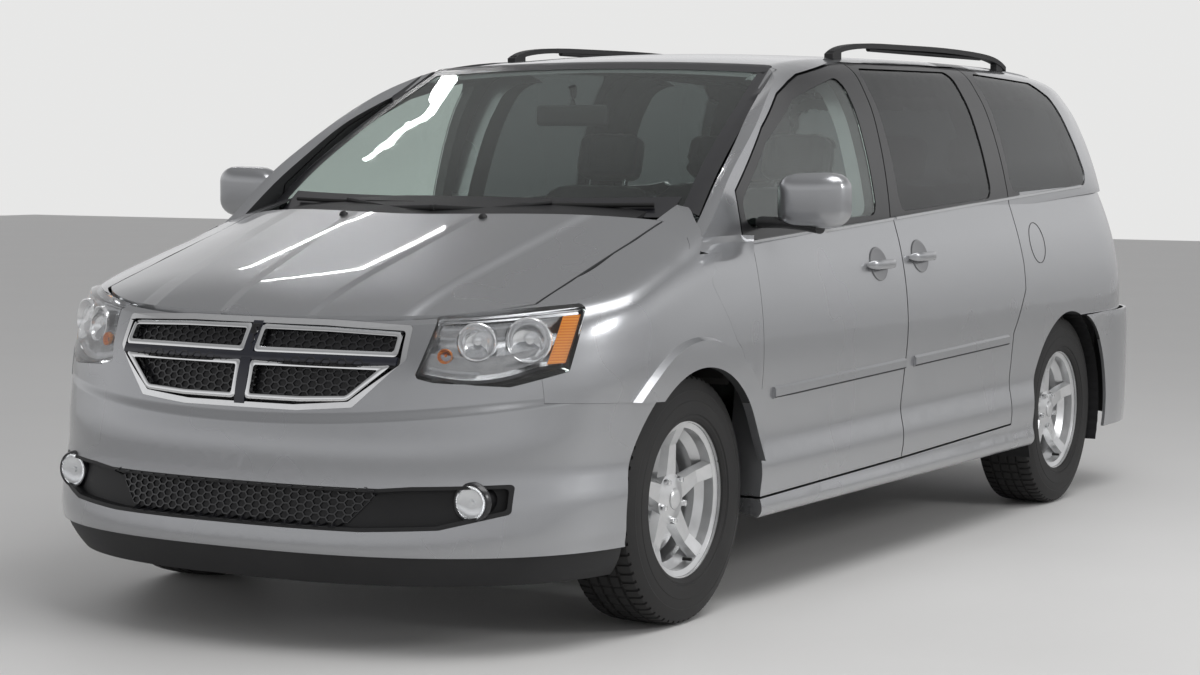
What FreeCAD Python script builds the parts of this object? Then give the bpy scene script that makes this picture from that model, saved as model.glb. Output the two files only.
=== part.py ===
import FreeCAD, Part

import math
import os
from types import SimpleNamespace

import Sketcher
from FreeCAD import Placement, Rotation, Vector

# Seven-seat minivan, front-wheel drive, with hinged front doors, sliding rear doors and a top-hung liftgate.
# Frame: +X forward, +Y to the driver's side (left), +Z up. Origin: on the ground, centre of the length.
# Shares in the tables below are fractions of the named size given beside each table.

doc = FreeCAD.newDocument("minivan")
sheet = doc.addObject("Spreadsheet::Sheet", "Sizes")

SIZES = (
    # Overall
    ("front_overhang", 960),
    ("wheelbase", 3078),
    ("rear_overhang", 1113),
    ("side_half_width", 975),
    ("roof_height", 1715),
    ("rail_top_height", 1755),
    ("ground_clearance", 155),
    # Wheels and tyres
    ("track", 1650),
    ("tyre_radius", 362),
    ("tyre_width", 225),
    ("tread_crown", 7),
    ("shoulder_width", 22),
    ("sidewall_bulge", 8),
    ("rim_radius", 232),
    ("rim_seat_radius", 216),
    ("rim_well_radius", 196),
    ("rim_width", 190),
    ("rim_wall", 9),
    ("hub_face_radius", 74),
    ("hub_face_offset", 28),
    ("hub_thickness", 34),
    ("cap_radius", 33),
    ("spoke_count", 5),
    ("spoke_root_width", 78),
    ("spoke_tip_width", 64),
    ("spoke_thickness", 24),
    ("lug_count", 5),
    ("lug_circle_radius", 57.15),
    ("lug_radius", 10),
    ("disc_radius", 165),
    ("disc_thickness", 28),
    # Running gear
    ("kingpin_half_track", 680),
    ("steer_limit_angle", 32),
    ("strut_radius", 26),
    ("arch_radius", 397),
    ("arch_centre_drop", 12),
    ("well_radius", 466),
    ("well_inner_y", 482),
    ("well_outer_y", 770),
    ("well_wall", 9),
    ("flare_width", 92),
    ("flare_proud", 20),
    ("axle_beam_radius", 32),
    # Panels
    ("panel_gap", 7),
    ("seam_gap", 0.8),
    ("seat_gap", 0.3),
    ("fascia_wall", 12),
    ("fender_wall", 7),
    ("hood_thickness", 26),
    ("door_thickness", 92),
    ("frame_thickness", 44),
    ("hinge_setback", 100),
    ("hinge_inset", 40),
    ("hinge_radius", 9),
    ("hinge_height", 60),
    ("roof_thickness", 36),
    ("door_flange", 6),
    ("flange_width", 32),
    ("pillar_depth", 70),
    ("pillar_face", 60),
    ("pillar_bulge", 45),
    ("pillar_width", 110),
    ("roof_crown", 24),
    ("gate_thickness", 36),
    ("glass_thickness", 5),
    ("glass_inset", 4),
    ("shoulder_round", 62),
    ("fender_top_width", 118),
    ("lamp_depth", 95),
    ("chin_inset", 26),
    ("belt_ledge", 9),
    # Cabin
    ("floor_height", 312),
    ("floor_thickness", 40),
    ("stop_radius", 14),
    ("jack_pad", 64),
    ("jack_drop", 16),
    ("engine_length", 480),
    ("engine_width", 700),
    ("engine_height", 560),
    ("engine_offset", -150),
    ("pipe_radius", 28),
    ("silencer_depth", 105),
    ("grille_depth", 40),
    ("grille_bar", 13),
    ("grille_rim", 15),
    ("mesh_depth", 10),
    ("fog_radius", 42),
    ("cowl_drop", 22),
    ("cowl_depth", 30),
    ("mirror_depth", 110),
    ("mirror_width", 250),
    ("mirror_height", 185),
    ("rail_width", 32),
    ("rail_depth", 30),
    ("seat_length", 500),
    ("seat_width", 510),
    ("seat_height", 360),
    ("seat_back_depth", 130),
    ("seat_back_height", 600),
    ("seat_lean_angle", 16),
    ("rest_width", 260),
    ("rest_height", 170),
    ("rest_gap", 30),
    ("steering_radius", 185),
    ("steering_rim_radius", 15),
    ("column_angle", 28),
    ("column_length", 420),
)

for row, (alias, value) in enumerate(SIZES, start=1):
    sheet.set("A%d" % row, alias)
    sheet.set("B%d" % row, str(value))
    sheet.setAlias("B%d" % row, alias)
doc.recompute()
mm = SimpleNamespace(**{alias: float(sheet.get(alias)) for alias, value in SIZES})

length = mm.front_overhang + mm.wheelbase + mm.rear_overhang
nose_x = length / 2
tail_x = -length / 2
front_axle_x = nose_x - mm.front_overhang
rear_axle_x = front_axle_x - mm.wheelbase
far = length


# Shared helpers: smooth tables, curves, lofts and prisms.
def table_value(shares, at):
    rows = list(shares)
    if rows[0][0] > rows[-1][0]:
        rows.reverse()
    at = min(max(at, rows[0][0]), rows[-1][0])
    last = len(rows) - 1
    spot = 0
    while spot < last - 1 and at > rows[spot + 1][0]:
        spot += 1
    here, there = rows[spot], rows[spot + 1]
    before = rows[max(spot - 1, 0)]
    after = rows[min(spot + 2, last)]
    span = there[0] - here[0]
    part = (at - here[0]) / span
    slope_here = (there[1] - before[1]) / (there[0] - before[0])
    slope_there = (after[1] - here[1]) / (after[0] - here[0])
    squared = part * part
    cubed = squared * part
    return (
        here[1] * (2 * cubed - 3 * squared + 1)
        + slope_here * span * (cubed - 2 * squared + part)
        + there[1] * (3 * squared - 2 * cubed)
        + slope_there * span * (cubed - squared)
    )


def blend(low, high, share):
    return low + (high - low) * share


def steps(low, high, count):
    return [blend(low, high, index / (count - 1)) for index in range(count)]


def curve(points):
    line = Part.BSplineCurve()
    line.interpolate(Points=points, Parameters=[float(index) for index in range(len(points))])
    return line.toShape()


def band_wire(outer, inner):
    return Part.Wire([
        curve(outer),
        Part.makeLine(outer[-1], inner[-1]),
        curve(list(reversed(inner))),
        Part.makeLine(inner[0], outer[0]),
    ])


def loft(wires):
    return Part.makeLoft(wires, True, False)


def rounded_wire(corners, plane):
    """Closed outline through (across, up, radius) corners, its corners rounded by arcs."""
    count = len(corners)
    places = [plane(across, up) for across, up, radius in corners]
    starts, mids, ends = [], [], []
    for index in range(count):
        corner = places[index]
        radius = corners[index][2]
        back = places[index - 1] - corner
        ahead = places[(index + 1) % count] - corner
        turn = math.pi - back.getAngle(ahead)
        reach = radius * math.tan(turn / 2)
        toward_back = Vector(back).normalize()
        toward_ahead = Vector(ahead).normalize()
        starts.append(corner + toward_back * reach)
        ends.append(corner + toward_ahead * reach)
        bisector = (toward_back + toward_ahead)
        if radius > 0:
            bisector.normalize()
            centre_reach = radius / math.cos(turn / 2)
            mids.append(corner + bisector * (centre_reach - radius))
        else:
            mids.append(corner)
    edges = []
    for index in range(count):
        if corners[index][2] > 0:
            edges.append(Part.Arc(starts[index], mids[index], ends[index]).toShape())
        begin = ends[index]
        finish = starts[(index + 1) % count]
        edges.append(Part.makeLine(begin, finish))
    return Part.Wire(edges)


def side_prism(corners, near, beyond):
    wire = rounded_wire(corners, lambda across, up: Vector(across, near, up))
    return Part.Face(wire).extrude(Vector(0, beyond - near, 0))


def front_prism(corners, near, beyond):
    wire = rounded_wire(corners, lambda across, up: Vector(near, across, up))
    return Part.Face(wire).extrude(Vector(beyond - near, 0, 0))


def top_prism(corners, near, beyond):
    wire = rounded_wire(corners, lambda along, across: Vector(along, across, near))
    return Part.Face(wire).extrude(Vector(0, 0, beyond - near))


def block(low, high):
    return Part.makeBox(high[0] - low[0], high[1] - low[1], high[2] - low[2], Vector(*low))


def mirrored(shape):
    return shape.mirror(Vector(0, 0, 0), Vector(0, 1, 0))


def both(shape):
    return Part.makeCompound([shape, mirrored(shape)])


def solids_of(shape):
    return shape.Solids[0] if len(shape.Solids) == 1 else Part.makeCompound(shape.Solids)


def add(label, shape):
    feature = doc.addObject("Part::Feature", label)
    feature.Label = label
    feature.Shape = solids_of(shape)
    return feature


def largest(shape):
    """The main solid, without the offcuts that gap outlines leave at its corners."""
    return max(shape.Solids, key=lambda solid: solid.Volume)


def disc(centre, radius, along, reach):
    return Part.makeCylinder(radius, reach, centre, along)


# Body surfaces. Heights are shares of roof_height, widths of side_half_width,
# nose places of front_overhang and tail places of rear_overhang.
side_shape_shares = (
    (0.090, 0.905), (0.134, 0.972), (0.175, 0.996), (0.251, 1.000), (0.292, 0.986), (0.362, 0.991),
    (0.437, 0.997), (0.513, 0.988), (0.583, 0.967), (0.641, 0.940), (0.700, 0.905), (0.758, 0.865),
)
nose_shape_shares = (
    (0.090, 0.930), (0.117, 0.962), (0.169, 1.000), (0.222, 0.985), (0.269, 0.965), (0.327, 0.957),
    (0.380, 0.930), (0.437, 0.902), (0.471, 0.880), (0.520, 0.833), (0.566, 0.766), (0.612, 0.680),
)
tail_shape_shares = (
    (0.175, 0.918), (0.321, 0.943), (0.437, 0.954), (0.525, 0.952), (0.583, 0.945), (0.671, 0.918),
    (0.729, 0.889), (0.845, 0.831), (0.933, 0.786), (0.991, 0.759),
)
hood_line_shares = (
    (-0.521, 0.764), (-0.313, 0.738), (-0.208, 0.723), (-0.104, 0.707), (0.000, 0.689), (0.104, 0.671),
    (0.208, 0.652), (0.313, 0.633), (0.417, 0.614), (0.521, 0.595), (0.625, 0.574), (0.729, 0.549),
    (0.833, 0.516), (0.900, 0.490),
)
belt_line_shares = (
    (0.000, 0.620), (0.065, 0.624), (0.490, 0.665), (0.849, 0.691), (1.098, 0.710), (1.300, 0.720),
)
roof_line_shares = (
    (-0.30, 0.966), (0.00, 0.966), (0.05, 0.978), (0.12, 0.988), (0.20, 0.994), (0.38, 0.999), (0.55, 1.000), (0.72, 0.996),
    (0.88, 0.984), (1.00, 0.970),
)
cabin_side_shares = (
    (-0.06, 1.003), (0.00, 1.000), (0.18, 0.982), (0.36, 0.958), (0.53, 0.929), (0.69, 0.894), (0.81, 0.856), (0.89, 0.825),
    (0.95, 0.782), (0.985, 0.735), (1.00, 0.680),
)
nose_corner_share = 0.21
tail_corner_share = 0.63
nose_power = 2.5
tail_power = 3.0
plan_taper_share = 0.012
hood_crown_share = 0.077
hood_crown_front_share = 0.056
hood_crown_power = 2.3
ditch_share = 0.636

hood_half_width = mm.side_half_width * 0.764
header_x = front_axle_x - mm.wheelbase * 0.357
roof_rear_x = rear_axle_x - mm.rear_overhang * 0.745
ditch_y = mm.side_half_width * ditch_share


def side_width(z):
    return mm.side_half_width * table_value(side_shape_shares, z / mm.roof_height)


def nose_at(z):
    return front_axle_x + mm.front_overhang * table_value(nose_shape_shares, z / mm.roof_height)


def tail_at(z):
    return rear_axle_x - mm.rear_overhang * table_value(tail_shape_shares, z / mm.roof_height)


def plan_factor(x, z):
    """Share of the full width that the body keeps at a place along it: corners are superellipses."""
    taper = 1 - plan_taper_share * (x / nose_x) ** 2
    nose_corner = front_axle_x + mm.front_overhang * nose_corner_share
    tail_corner = tail_at(z) + mm.rear_overhang * tail_corner_share
    if x > nose_corner:
        reach = min((x - nose_corner) / (nose_at(z) - nose_corner), 1)
        return taper * (1 - reach ** nose_power) ** (1 / nose_power)
    if x < tail_corner:
        reach = min((x - tail_corner) / (tail_at(z) - tail_corner), 1)
        return taper * (1 - reach ** tail_power) ** (1 / tail_power)
    return taper


def half_width(x, z):
    return side_width(z) * plan_factor(x, z)


def hood_height(x, y):
    along = (x - front_axle_x) / mm.front_overhang
    centre = mm.roof_height * table_value(hood_line_shares, along)
    forward = min(max(along / 0.6, 0), 1)
    drop = mm.side_half_width * blend(hood_crown_share, hood_crown_front_share, forward)
    return centre - drop * abs(y / hood_half_width) ** hood_crown_power


def belt_height(x):
    return mm.roof_height * table_value(belt_line_shares, (front_axle_x - x) / mm.wheelbase)


def roof_height_at(x):
    along = (header_x - x) / (header_x - roof_rear_x)
    return mm.roof_height * table_value(roof_line_shares, along)


floor_low = mm.floor_height - mm.floor_thickness
belt_half_width = side_width(belt_height(0)) - mm.belt_ledge


def roof_edge_height(x):
    return roof_height_at(x) - mm.roof_crown


# Patches: a slab of wall between an outer and an inner grid of points.
def slab(outer, inner):
    skins = []
    for grid in (outer, inner):
        skin = Part.BSplineSurface()
        skin.interpolate(grid)
        skins.append(skin)
    faces = [skin.toShape() for skin in skins]
    ends = [skin.bounds() for skin in skins]
    for side in (0, 1):
        borders = [skin.uIso(end[side]).toShape() for skin, end in zip(skins, ends)]
        faces.append(Part.makeRuledSurface(*borders))
        borders = [skin.vIso(end[side + 2]).toShape() for skin, end in zip(skins, ends)]
        faces.append(Part.makeRuledSurface(*borders))
    shell = Part.Shell(faces)
    shell.sewShape()
    solid = Part.Solid(shell)
    if solid.Volume < 0:
        solid.reverse()
    return solid


def inward(grid, depth, inside):
    """The grid moved by depth along its own normals, towards the inside point's side."""
    rows = len(grid)
    columns = len(grid[0])
    moved = []
    for row in range(rows):
        line = []
        for column in range(columns):
            along = grid[min(row + 1, rows - 1)][column] - grid[max(row - 1, 0)][column]
            across = grid[row][min(column + 1, columns - 1)] - grid[row][max(column - 1, 0)]
            normal = along.cross(across).normalize()
            point = grid[row][column]
            if normal.dot(inside - point) < 0:
                normal = normal * -1
            line.append(point + normal * depth)
        moved.append(line)
    return moved


def behind(share):
    """A place along the vehicle, as a share of the wheelbase behind the front axle."""
    return front_axle_x - mm.wheelbase * share


def up(share):
    return mm.roof_height * share


def outline(shares, radius):
    return [(behind(along), up(height), radius) for along, height in shares]


# The flank, from the front door's leading edge to the tail corner, in a lower and an upper patch.
wall_bottom_share = 0.155
wall_front_share = 0.020
tail_end_share = 0.80
middle = Vector(0, 0, mm.roof_height / 2)
flank_stations = 15
corner_stations = 9


def flank_rows():
    """Places along the flank: straight shares up to 1, then shares of the tail corner."""
    straight = [(share, 0) for share in steps(0, 1, flank_stations)]
    corner = [(1, share) for share in steps(0, tail_end_share, corner_stations)]
    return straight + corner[1:]


def flank_x(row, z):
    straight, corner = row
    tail_corner = tail_at(z) + mm.rear_overhang * tail_corner_share
    x = blend(behind(wall_front_share), tail_corner, straight)
    return blend(x, tail_at(z), corner)


def lower_flank(depth, top_drop=0):
    grid = []
    for row in flank_rows():
        line = []
        for share in steps(0, 1, 16):
            x = flank_x(row, up(0.4))
            z = blend(up(wall_bottom_share), belt_height(x) - top_drop, share)
            x = flank_x(row, z)
            line.append(Vector(x, half_width(x, z), z))
        grid.append(line)
    return inward(grid, depth, middle) if depth else grid


def upper_flank(depth, drop=0):
    grid = []
    for row in flank_rows():
        line = []
        for height_share, width_share in cabin_side_shares:
            x = flank_x(row, up(0.7))
            belt = belt_height(x)
            z = blend(belt, roof_edge_height(x), height_share)
            x = flank_x(row, z)
            line.append(Vector(x, belt_half_width * width_share * plan_factor(x, z), z - drop))
        grid.append(line)
    return inward(grid, depth, middle) if depth else grid


# Front door, sliding door and window outlines: shares behind the front axle and of the roof height.
front_door_shares = (
    (0.1251, 0.1900), (0.1293, 0.3500), (0.1365, 0.6268), (0.1365, 0.7254), (0.2268, 0.8380), (0.2969, 0.9010),
    (0.3400, 0.9250), (0.3720, 0.9400), (0.4698, 0.9650), (0.5084, 0.9690), (0.4899, 0.6653), (0.4847, 0.4665), (0.4734, 0.2886),
    (0.4691, 0.1990),
)
sliding_door_shares = (
    (0.4691, 0.1990), (0.4734, 0.2886), (0.4847, 0.4665), (0.4899, 0.6653), (0.5084, 0.9690), (0.8317, 0.9760),
    (0.8447, 0.6900), (0.8489, 0.5516), (0.8457, 0.4974), (0.8034, 0.4070), (0.7956, 0.2120),
)
front_glass_shares = (
    (0.1478, 0.6600), (0.1478, 0.7085), (0.2268, 0.8110), (0.3288, 0.8930), (0.3900, 0.9180), (0.4613, 0.9430),
    (0.4568, 0.6717),
)
sliding_glass_shares = ((0.5192, 0.6758), (0.5185, 0.9598), (0.7817, 0.9639), (0.7931, 0.6956))
quarter_glass_shares = ((0.8587, 0.7050), (0.8512, 0.9650), (1.0500, 0.9520), (1.0900, 0.9200), (1.1350, 0.7180))



def front_at(share):
    return front_axle_x + mm.front_overhang * share


def arch_cylinder(axle_x, radius, inner_y, outer_y):
    centre = Vector(axle_x, inner_y, mm.tyre_radius - mm.arch_centre_drop)
    return disc(centre, radius, Vector(0, 1, 0), outer_y - inner_y)


# Nose rings: the front of the body at one height, from the left wheel arch round to the right one.
nose_angles = 25
nose_side_share = 0.36


def nose_row(z, grow=0):
    width = side_width(z) * (1 - plan_taper_share)
    corner = front_axle_x + mm.front_overhang * nose_corner_share
    tip = nose_at(z)
    quarter = []
    for angle in steps(0, math.pi / 2, nose_angles):
        x = corner + (tip - corner) * math.cos(angle) ** (2 / nose_power)
        y = width * math.sin(angle) ** (2 / nose_power)
        quarter.append(Vector(x, y, z))
    quarter[-1].x = corner
    back = front_at(nose_side_share - nose_corner_share - nose_corner_share)
    quarter += [Vector(blend(corner, back, share), width, z) for share in (0.5, 1.0)]
    mirror_side = [Vector(point.x, -point.y, z) for point in reversed(quarter[1:])]
    return mirror_side + quarter


def nose_grid(low, high, rows, depth):
    grid = [nose_row(z) for z in steps(low, high, rows)]
    return inward(grid, depth, middle) if depth else grid


def nose_slab(low, high, depth, start=0):
    rows = max(int((high - low) / mm.tread_crown / 5), 4)
    return slab(nose_grid(low, high, rows, start), nose_grid(low, high, rows, start + depth))


# Hood surface patches and the hood's plan outline.
hood_front_shares = ((0.798, 0.000), (0.789, 0.190), (0.764, 0.390), (0.724, 0.542), (0.655, 0.670), (0.565, 0.764))
hood_rear_shares = ((-0.183, 0.764), (-0.095, 0.560), (-0.020, 0.350), (0.020, 0.180), (0.038, 0.000))


def hood_grid(front_share, rear_share, width, drop):
    rows = []
    for x in steps(front_at(rear_share), front_at(front_share), 14):
        rows.append([Vector(x, y, hood_height(x, y) - drop) for y in steps(-width, width, 15)])
    return rows


def hood_outline(grow, low, high):
    half = [(front_at(along) + grow, mm.side_half_width * across) for along, across in hood_front_shares]
    half = [(x, y + (grow if y else 0)) for x, y in half]
    front = [Vector(x, -y, low) for x, y in reversed(half[1:])] + [Vector(x, y, low) for x, y in half]
    half = [(front_at(along) - grow, mm.side_half_width * across) for along, across in hood_rear_shares]
    half = [(x, y + (grow if y else 0)) for x, y in half]
    rear = [Vector(x, y, low) for x, y in half] + [Vector(x, -y, low) for x, y in reversed(half[:-1])]
    wire = Part.Wire([
        curve(front), Part.makeLine(front[-1], rear[0]), curve(rear), Part.makeLine(rear[-1], front[0]),
    ])
    return Part.Face(wire).extrude(Vector(0, 0, high - low))


above_hood = slab(
    hood_grid(0.95, -0.5, mm.side_half_width * 1.1, mm.seam_gap),
    hood_grid(0.95, -0.5, mm.side_half_width * 1.1, -mm.roof_height / 2),
)
hood_plan = hood_outline(0, up(0.4), up(0.9))
hood_clearance = hood_outline(mm.panel_gap, up(0.4), up(0.9))
hood = slab(
    hood_grid(0.88, -0.35, mm.side_half_width * 0.85, 0),
    hood_grid(0.88, -0.35, mm.side_half_width * 0.85, mm.hood_thickness),
).common(hood_plan)

# Headlamps: clear wedges seen along a line midway between ahead and the side.
lamp_shares = (
    (-0.2075, 0.4400), (-0.156, 0.4330), (0.048, 0.4270), (0.221, 0.4500), (0.288, 0.5540), (-0.123, 0.5365),
)
lamp_corner = mm.front_overhang * 0.012


def lamp_prism(grow):
    """Along the diagonal; the outline is in shares of the front overhang across it and of the roof height."""
    corners = []
    for across, height in lamp_shares:
        swell = grow / mm.front_overhang
        across += swell if across > 0.1 else -swell if across < -0.1 else 0
        height_mm = up(height) + (grow if height > 0.5 else -grow)
        corners.append((across * mm.front_overhang, height_mm, lamp_corner))
    diagonal = Vector(1, 1, 0).normalize()
    sideways = Vector(-1, 1, 0).normalize()
    start = Vector(front_axle_x, 0, 0)
    wire = rounded_wire(corners, lambda across, height: start + sideways * across + Vector(0, 0, height))
    return Part.Face(wire).extrude(diagonal * far / 3)


lamp_hole = lamp_prism(mm.seam_gap)
head_slab = nose_slab(up(0.40), up(0.60), mm.lamp_depth)
headlamp = head_slab.common(lamp_prism(0)).cut(above_hood).cut(hood_clearance)

# Front fender: side, rounded shoulder and the top up to the hood's edge, with the flare of the arch.
fender_front_share = 0.66
fender_rear_share = -0.455


def fender_seam(share):
    """Height of the seam between fender and front bumper, at a share of the front overhang."""
    return up(0.3883 + 0.028 * (share - 0.2))




def fender_grid(depth):
    grid = []
    for x in steps(front_at(fender_rear_share), front_at(fender_front_share), 18):
        z = hood_height(x, mm.side_half_width * 0.95)
        for attempt in range(12):
            z = hood_height(x, half_width(x, z))
        shoulder = Vector(x, half_width(x, z), z)
        low_end = z - mm.shoulder_round
        side = [Vector(x, half_width(x, level), level) for level in steps(up(wall_bottom_share), low_end, 13)]
        inner_y = shoulder.y - mm.shoulder_round
        crown_start = Vector(x, inner_y, hood_height(x, inner_y))
        bend = []
        for share in (0.25, 0.5, 0.75):
            first = side[-1] + (shoulder - side[-1]) * share
            second = shoulder + (crown_start - shoulder) * share
            bend.append(first + (second - first) * share)
        crown = [Vector(x, y, hood_height(x, y)) for y in steps(inner_y, inner_y - mm.fender_top_width, 5)]
        grid.append(side + bend + crown)
    return inward(grid, depth, Vector(0, 0, 0)) if depth else grid


def flare(grid, axle_x):
    ring = slab(inward(grid, -mm.flare_proud, middle), inward(grid, mm.fender_wall / 2, middle))
    centre = Vector(axle_x, mm.side_half_width * 0.9, mm.tyre_radius - mm.arch_centre_drop)
    outer = mm.arch_radius + mm.flare_width
    reach = mm.side_half_width * 0.15
    cone = Part.makeCone(outer + mm.flare_proud * 1.6, outer - mm.flare_proud * 1.6, reach, centre, Vector(0, 1, 0))
    return ring.common(cone)


fender_skin = fender_grid(0)
fender_flare = flare(fender_skin, front_axle_x)
fender = slab(fender_skin, fender_grid(mm.fender_wall))
front_arch = arch_cylinder(front_axle_x, mm.arch_radius, mm.well_outer_y, mm.side_half_width * 1.2)
bumper_region = side_prism([
    (front_at(1.2), up(0.1), 0), (front_at(1.2), fender_seam(1.2), 0), (front_at(0), fender_seam(0), 0),
    (front_at(0), up(0.1), 0),
], 0, mm.side_half_width * 1.2)
ahead_of_lamp = block((front_at(0.655), 0, 0), (front_at(1.2), far, far))
fender_cutters = (front_arch, bumper_region, ahead_of_lamp, lamp_hole, hood_clearance)
for cutter in fender_cutters:
    fender = fender.cut(cutter)
    fender_flare = fender_flare.cut(cutter)

# Front fascia: one moulding from arch to arch, with the lamp, grille and air openings cut through it.
grille_shares = (
    (0.500, 0.520), (0.505, 0.468), (0.370, 0.391), (0.200, 0.383), (-0.200, 0.383), (-0.370, 0.391),
    (-0.505, 0.468), (-0.500, 0.520), (-0.250, 0.5245), (0.250, 0.5245),
)
intake_shares = (
    (0.800, 0.276), (0.800, 0.230), (0.640, 0.206), (0.430, 0.200), (-0.430, 0.200), (-0.640, 0.206),
    (-0.800, 0.230), (-0.800, 0.276), (-0.560, 0.272), (-0.470, 0.2675), (0.470, 0.2675), (0.560, 0.272),
)


def front_outline(shares, grow, radius):
    corners = []
    for across, height in shares:
        middle_height = (max(row[1] for row in shares) + min(row[1] for row in shares)) / 2
        y = mm.side_half_width * across + grow * math.copysign(1, across)
        z = up(height) + grow * math.copysign(1, height - middle_height)
        corners.append((y, z, radius))
    return front_prism(corners, front_at(0.4), front_at(1.3))


grille_radius = mm.front_overhang * 0.012
fascia = nose_slab(up(0.162), up(0.555), mm.fascia_wall)
beside_bumper = side_prism([
    (front_at(0.655), fender_seam(0.655) - mm.seam_gap, 0), (front_at(0.655), up(0.8), 0),
    (front_at(-0.5), up(0.8), 0), (front_at(-0.5), fender_seam(-0.5) - mm.seam_gap, 0),
], -mm.side_half_width * 1.2, mm.side_half_width * 1.2)
for cutter in (
    above_hood, hood_clearance, lamp_hole, mirrored(lamp_hole), front_arch, mirrored(front_arch), beside_bumper,
    front_outline(grille_shares, 0, grille_radius), front_outline(intake_shares, 0, grille_radius),
):
    fascia = fascia.cut(cutter)

chin = nose_slab(up(0.108), up(0.175), mm.fascia_wall, mm.fascia_wall - mm.seat_gap)
chin = chin.cut(nose_slab(up(0.162), up(0.555), mm.fascia_wall + mm.seat_gap + mm.chin_inset, -mm.chin_inset))
chin = largest(chin.cut(front_arch).cut(mirrored(front_arch)))



# Windshield surface: rows from the cowl to the header, each bowed back towards its sides.
windshield_shares = (
    (-0.0390, 0.679, 0.182), (-0.1120, 0.758, 0.135), (-0.1950, 0.8335, 0.085), (-0.2760, 0.9010, 0.040),
    (-0.3567, 0.9680, 0.004),
)
windshield_top_drop = 0.024
windshield_half_share = 0.795


glass_edge_shares = ((0.0, 0.795), (0.5, 0.727), (1.0, 0.667))


def windshield_grid(low, high, width, drop, pillars=False):
    """Low and high are shares of the glass length, and go past 0 and 1 where the surface is used to cut.
    With pillars, the surface steps forward past the glass edge over the faces of the front pillars."""
    levels = [row / (len(windshield_shares) - 1) for row in range(len(windshield_shares))]
    along_table = list(zip(levels, (row[0] for row in windshield_shares)))
    up_table = list(zip(levels, (row[1] for row in windshield_shares)))
    bow_table = list(zip(levels, (row[2] for row in windshield_shares)))
    grid = []
    for level in steps(low, high, 12):
        inside = min(max(level, 0), 1)
        past = level - inside
        along = table_value(along_table, inside) - past * 0.318
        height = table_value(up_table, inside) + past * 0.289
        bow = table_value(bow_table, inside) - past * 0.178
        line = []
        edge = mm.side_half_width * table_value(glass_edge_shares, inside)
        for y in steps(-width, width, 31 if pillars else 13):
            side_y = min(abs(y), edge) if pillars else abs(y)
            side = (side_y / (mm.side_half_width * windshield_half_share)) ** 2
            x = behind(-along) - mm.side_half_width * bow * side
            if pillars:
                climb = min(max((abs(y) - edge) / mm.pillar_face, 0), 1)
                x += mm.pillar_bulge * climb * climb * (3 - 2 * climb)
            z = up(height) - mm.side_half_width * windshield_top_drop * side * inside
            line.append(Vector(x, y, z) - Vector(drop * 0.5, 0, drop * 0.86))
        grid.append(line)
    return grid


ahead_of_glass = slab(
    windshield_grid(-0.35, 1.25, mm.side_half_width * 1.05, -mm.seam_gap, True),
    windshield_grid(-0.35, 1.25, mm.side_half_width * 1.05, -mm.roof_height * 0.8, True),
)
pane = slab(
    windshield_grid(0.0, 1.0, mm.side_half_width * 0.9, 0),
    windshield_grid(0.0, 1.0, mm.side_half_width * 0.9, mm.glass_thickness),
)


def pane_plan(grow):
    low = mm.roof_height * 0.5
    front_y = mm.side_half_width * glass_edge_shares[0][1] + grow
    rear_y = mm.side_half_width * glass_edge_shares[2][1] + grow
    front_x = behind(0.098)
    rear_x = behind(0.3566)
    slope = (front_y - rear_y) / (front_x - rear_x)
    reach = mm.wheelbase * 0.09
    corners = [
        (front_x + reach, front_y + slope * reach, 0), (front_x + reach, -front_y - slope * reach, 0),
        (rear_x - grow, -rear_y, mm.front_overhang * 0.02), (rear_x - grow, rear_y, mm.front_overhang * 0.02),
    ]
    return top_prism(corners, low, mm.roof_height * 1.1)


windshield = pane.common(pane_plan(0))

# Flank wall of each side, cut into the fixed body side, the doors and their windows.
lower_wall = slab(lower_flank(0), lower_flank(mm.door_thickness))
upper_wall = slab(upper_flank(0), upper_flank(mm.frame_thickness))
sill_flare = flare(lower_flank(0), rear_axle_x)
wall = lower_wall.fuse(upper_wall)
wide = mm.side_half_width * 1.2
inner = mm.side_half_width * 0.3
corner_radius = mm.wheelbase * 0.012
glass_radius = mm.wheelbase * 0.016


def grown(corners, grow):
    """An outline moved outward by grow along each side's normal."""
    count = len(corners)
    area = sum(
        corners[index - 1][0] * corners[index][1] - corners[index][0] * corners[index - 1][1]
        for index in range(count)
    )
    turn = 1 if area > 0 else -1
    moved = []
    for index in range(count):
        back, here, ahead = corners[index - 1], corners[index], corners[(index + 1) % count]
        before = Vector(here[0] - back[0], here[1] - back[1], 0).normalize()
        after = Vector(ahead[0] - here[0], ahead[1] - here[1], 0).normalize()
        normal_before = Vector(before.y, -before.x, 0) * turn
        normal_after = Vector(after.y, -after.x, 0) * turn
        bisector = (normal_before + normal_after).normalize()
        reach = grow / max(bisector.dot(normal_before), 0.3)
        radius = max(here[2] + grow, 0) if here[2] else 0
        moved.append((here[0] + bisector.x * reach, here[1] + bisector.y * reach, radius))
    return moved


front_door_outline = outline(front_door_shares, 0)
sliding_door_outline = outline(sliding_door_shares, 0)
front_glass_outline = outline(front_glass_shares, glass_radius)
sliding_glass_outline = outline(sliding_glass_shares, glass_radius)
quarter_glass_outline = outline(quarter_glass_shares, glass_radius)
half_gap = mm.panel_gap / 2

front_door = wall.common(side_prism(grown(front_door_outline, -half_gap), inner, wide))
front_door = front_door.cut(side_prism(front_glass_outline, inner, wide))
sliding_door = wall.common(side_prism(grown(sliding_door_outline, -half_gap), inner, wide))
sliding_door = sliding_door.cut(side_prism(sliding_glass_outline, inner, wide))

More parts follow.
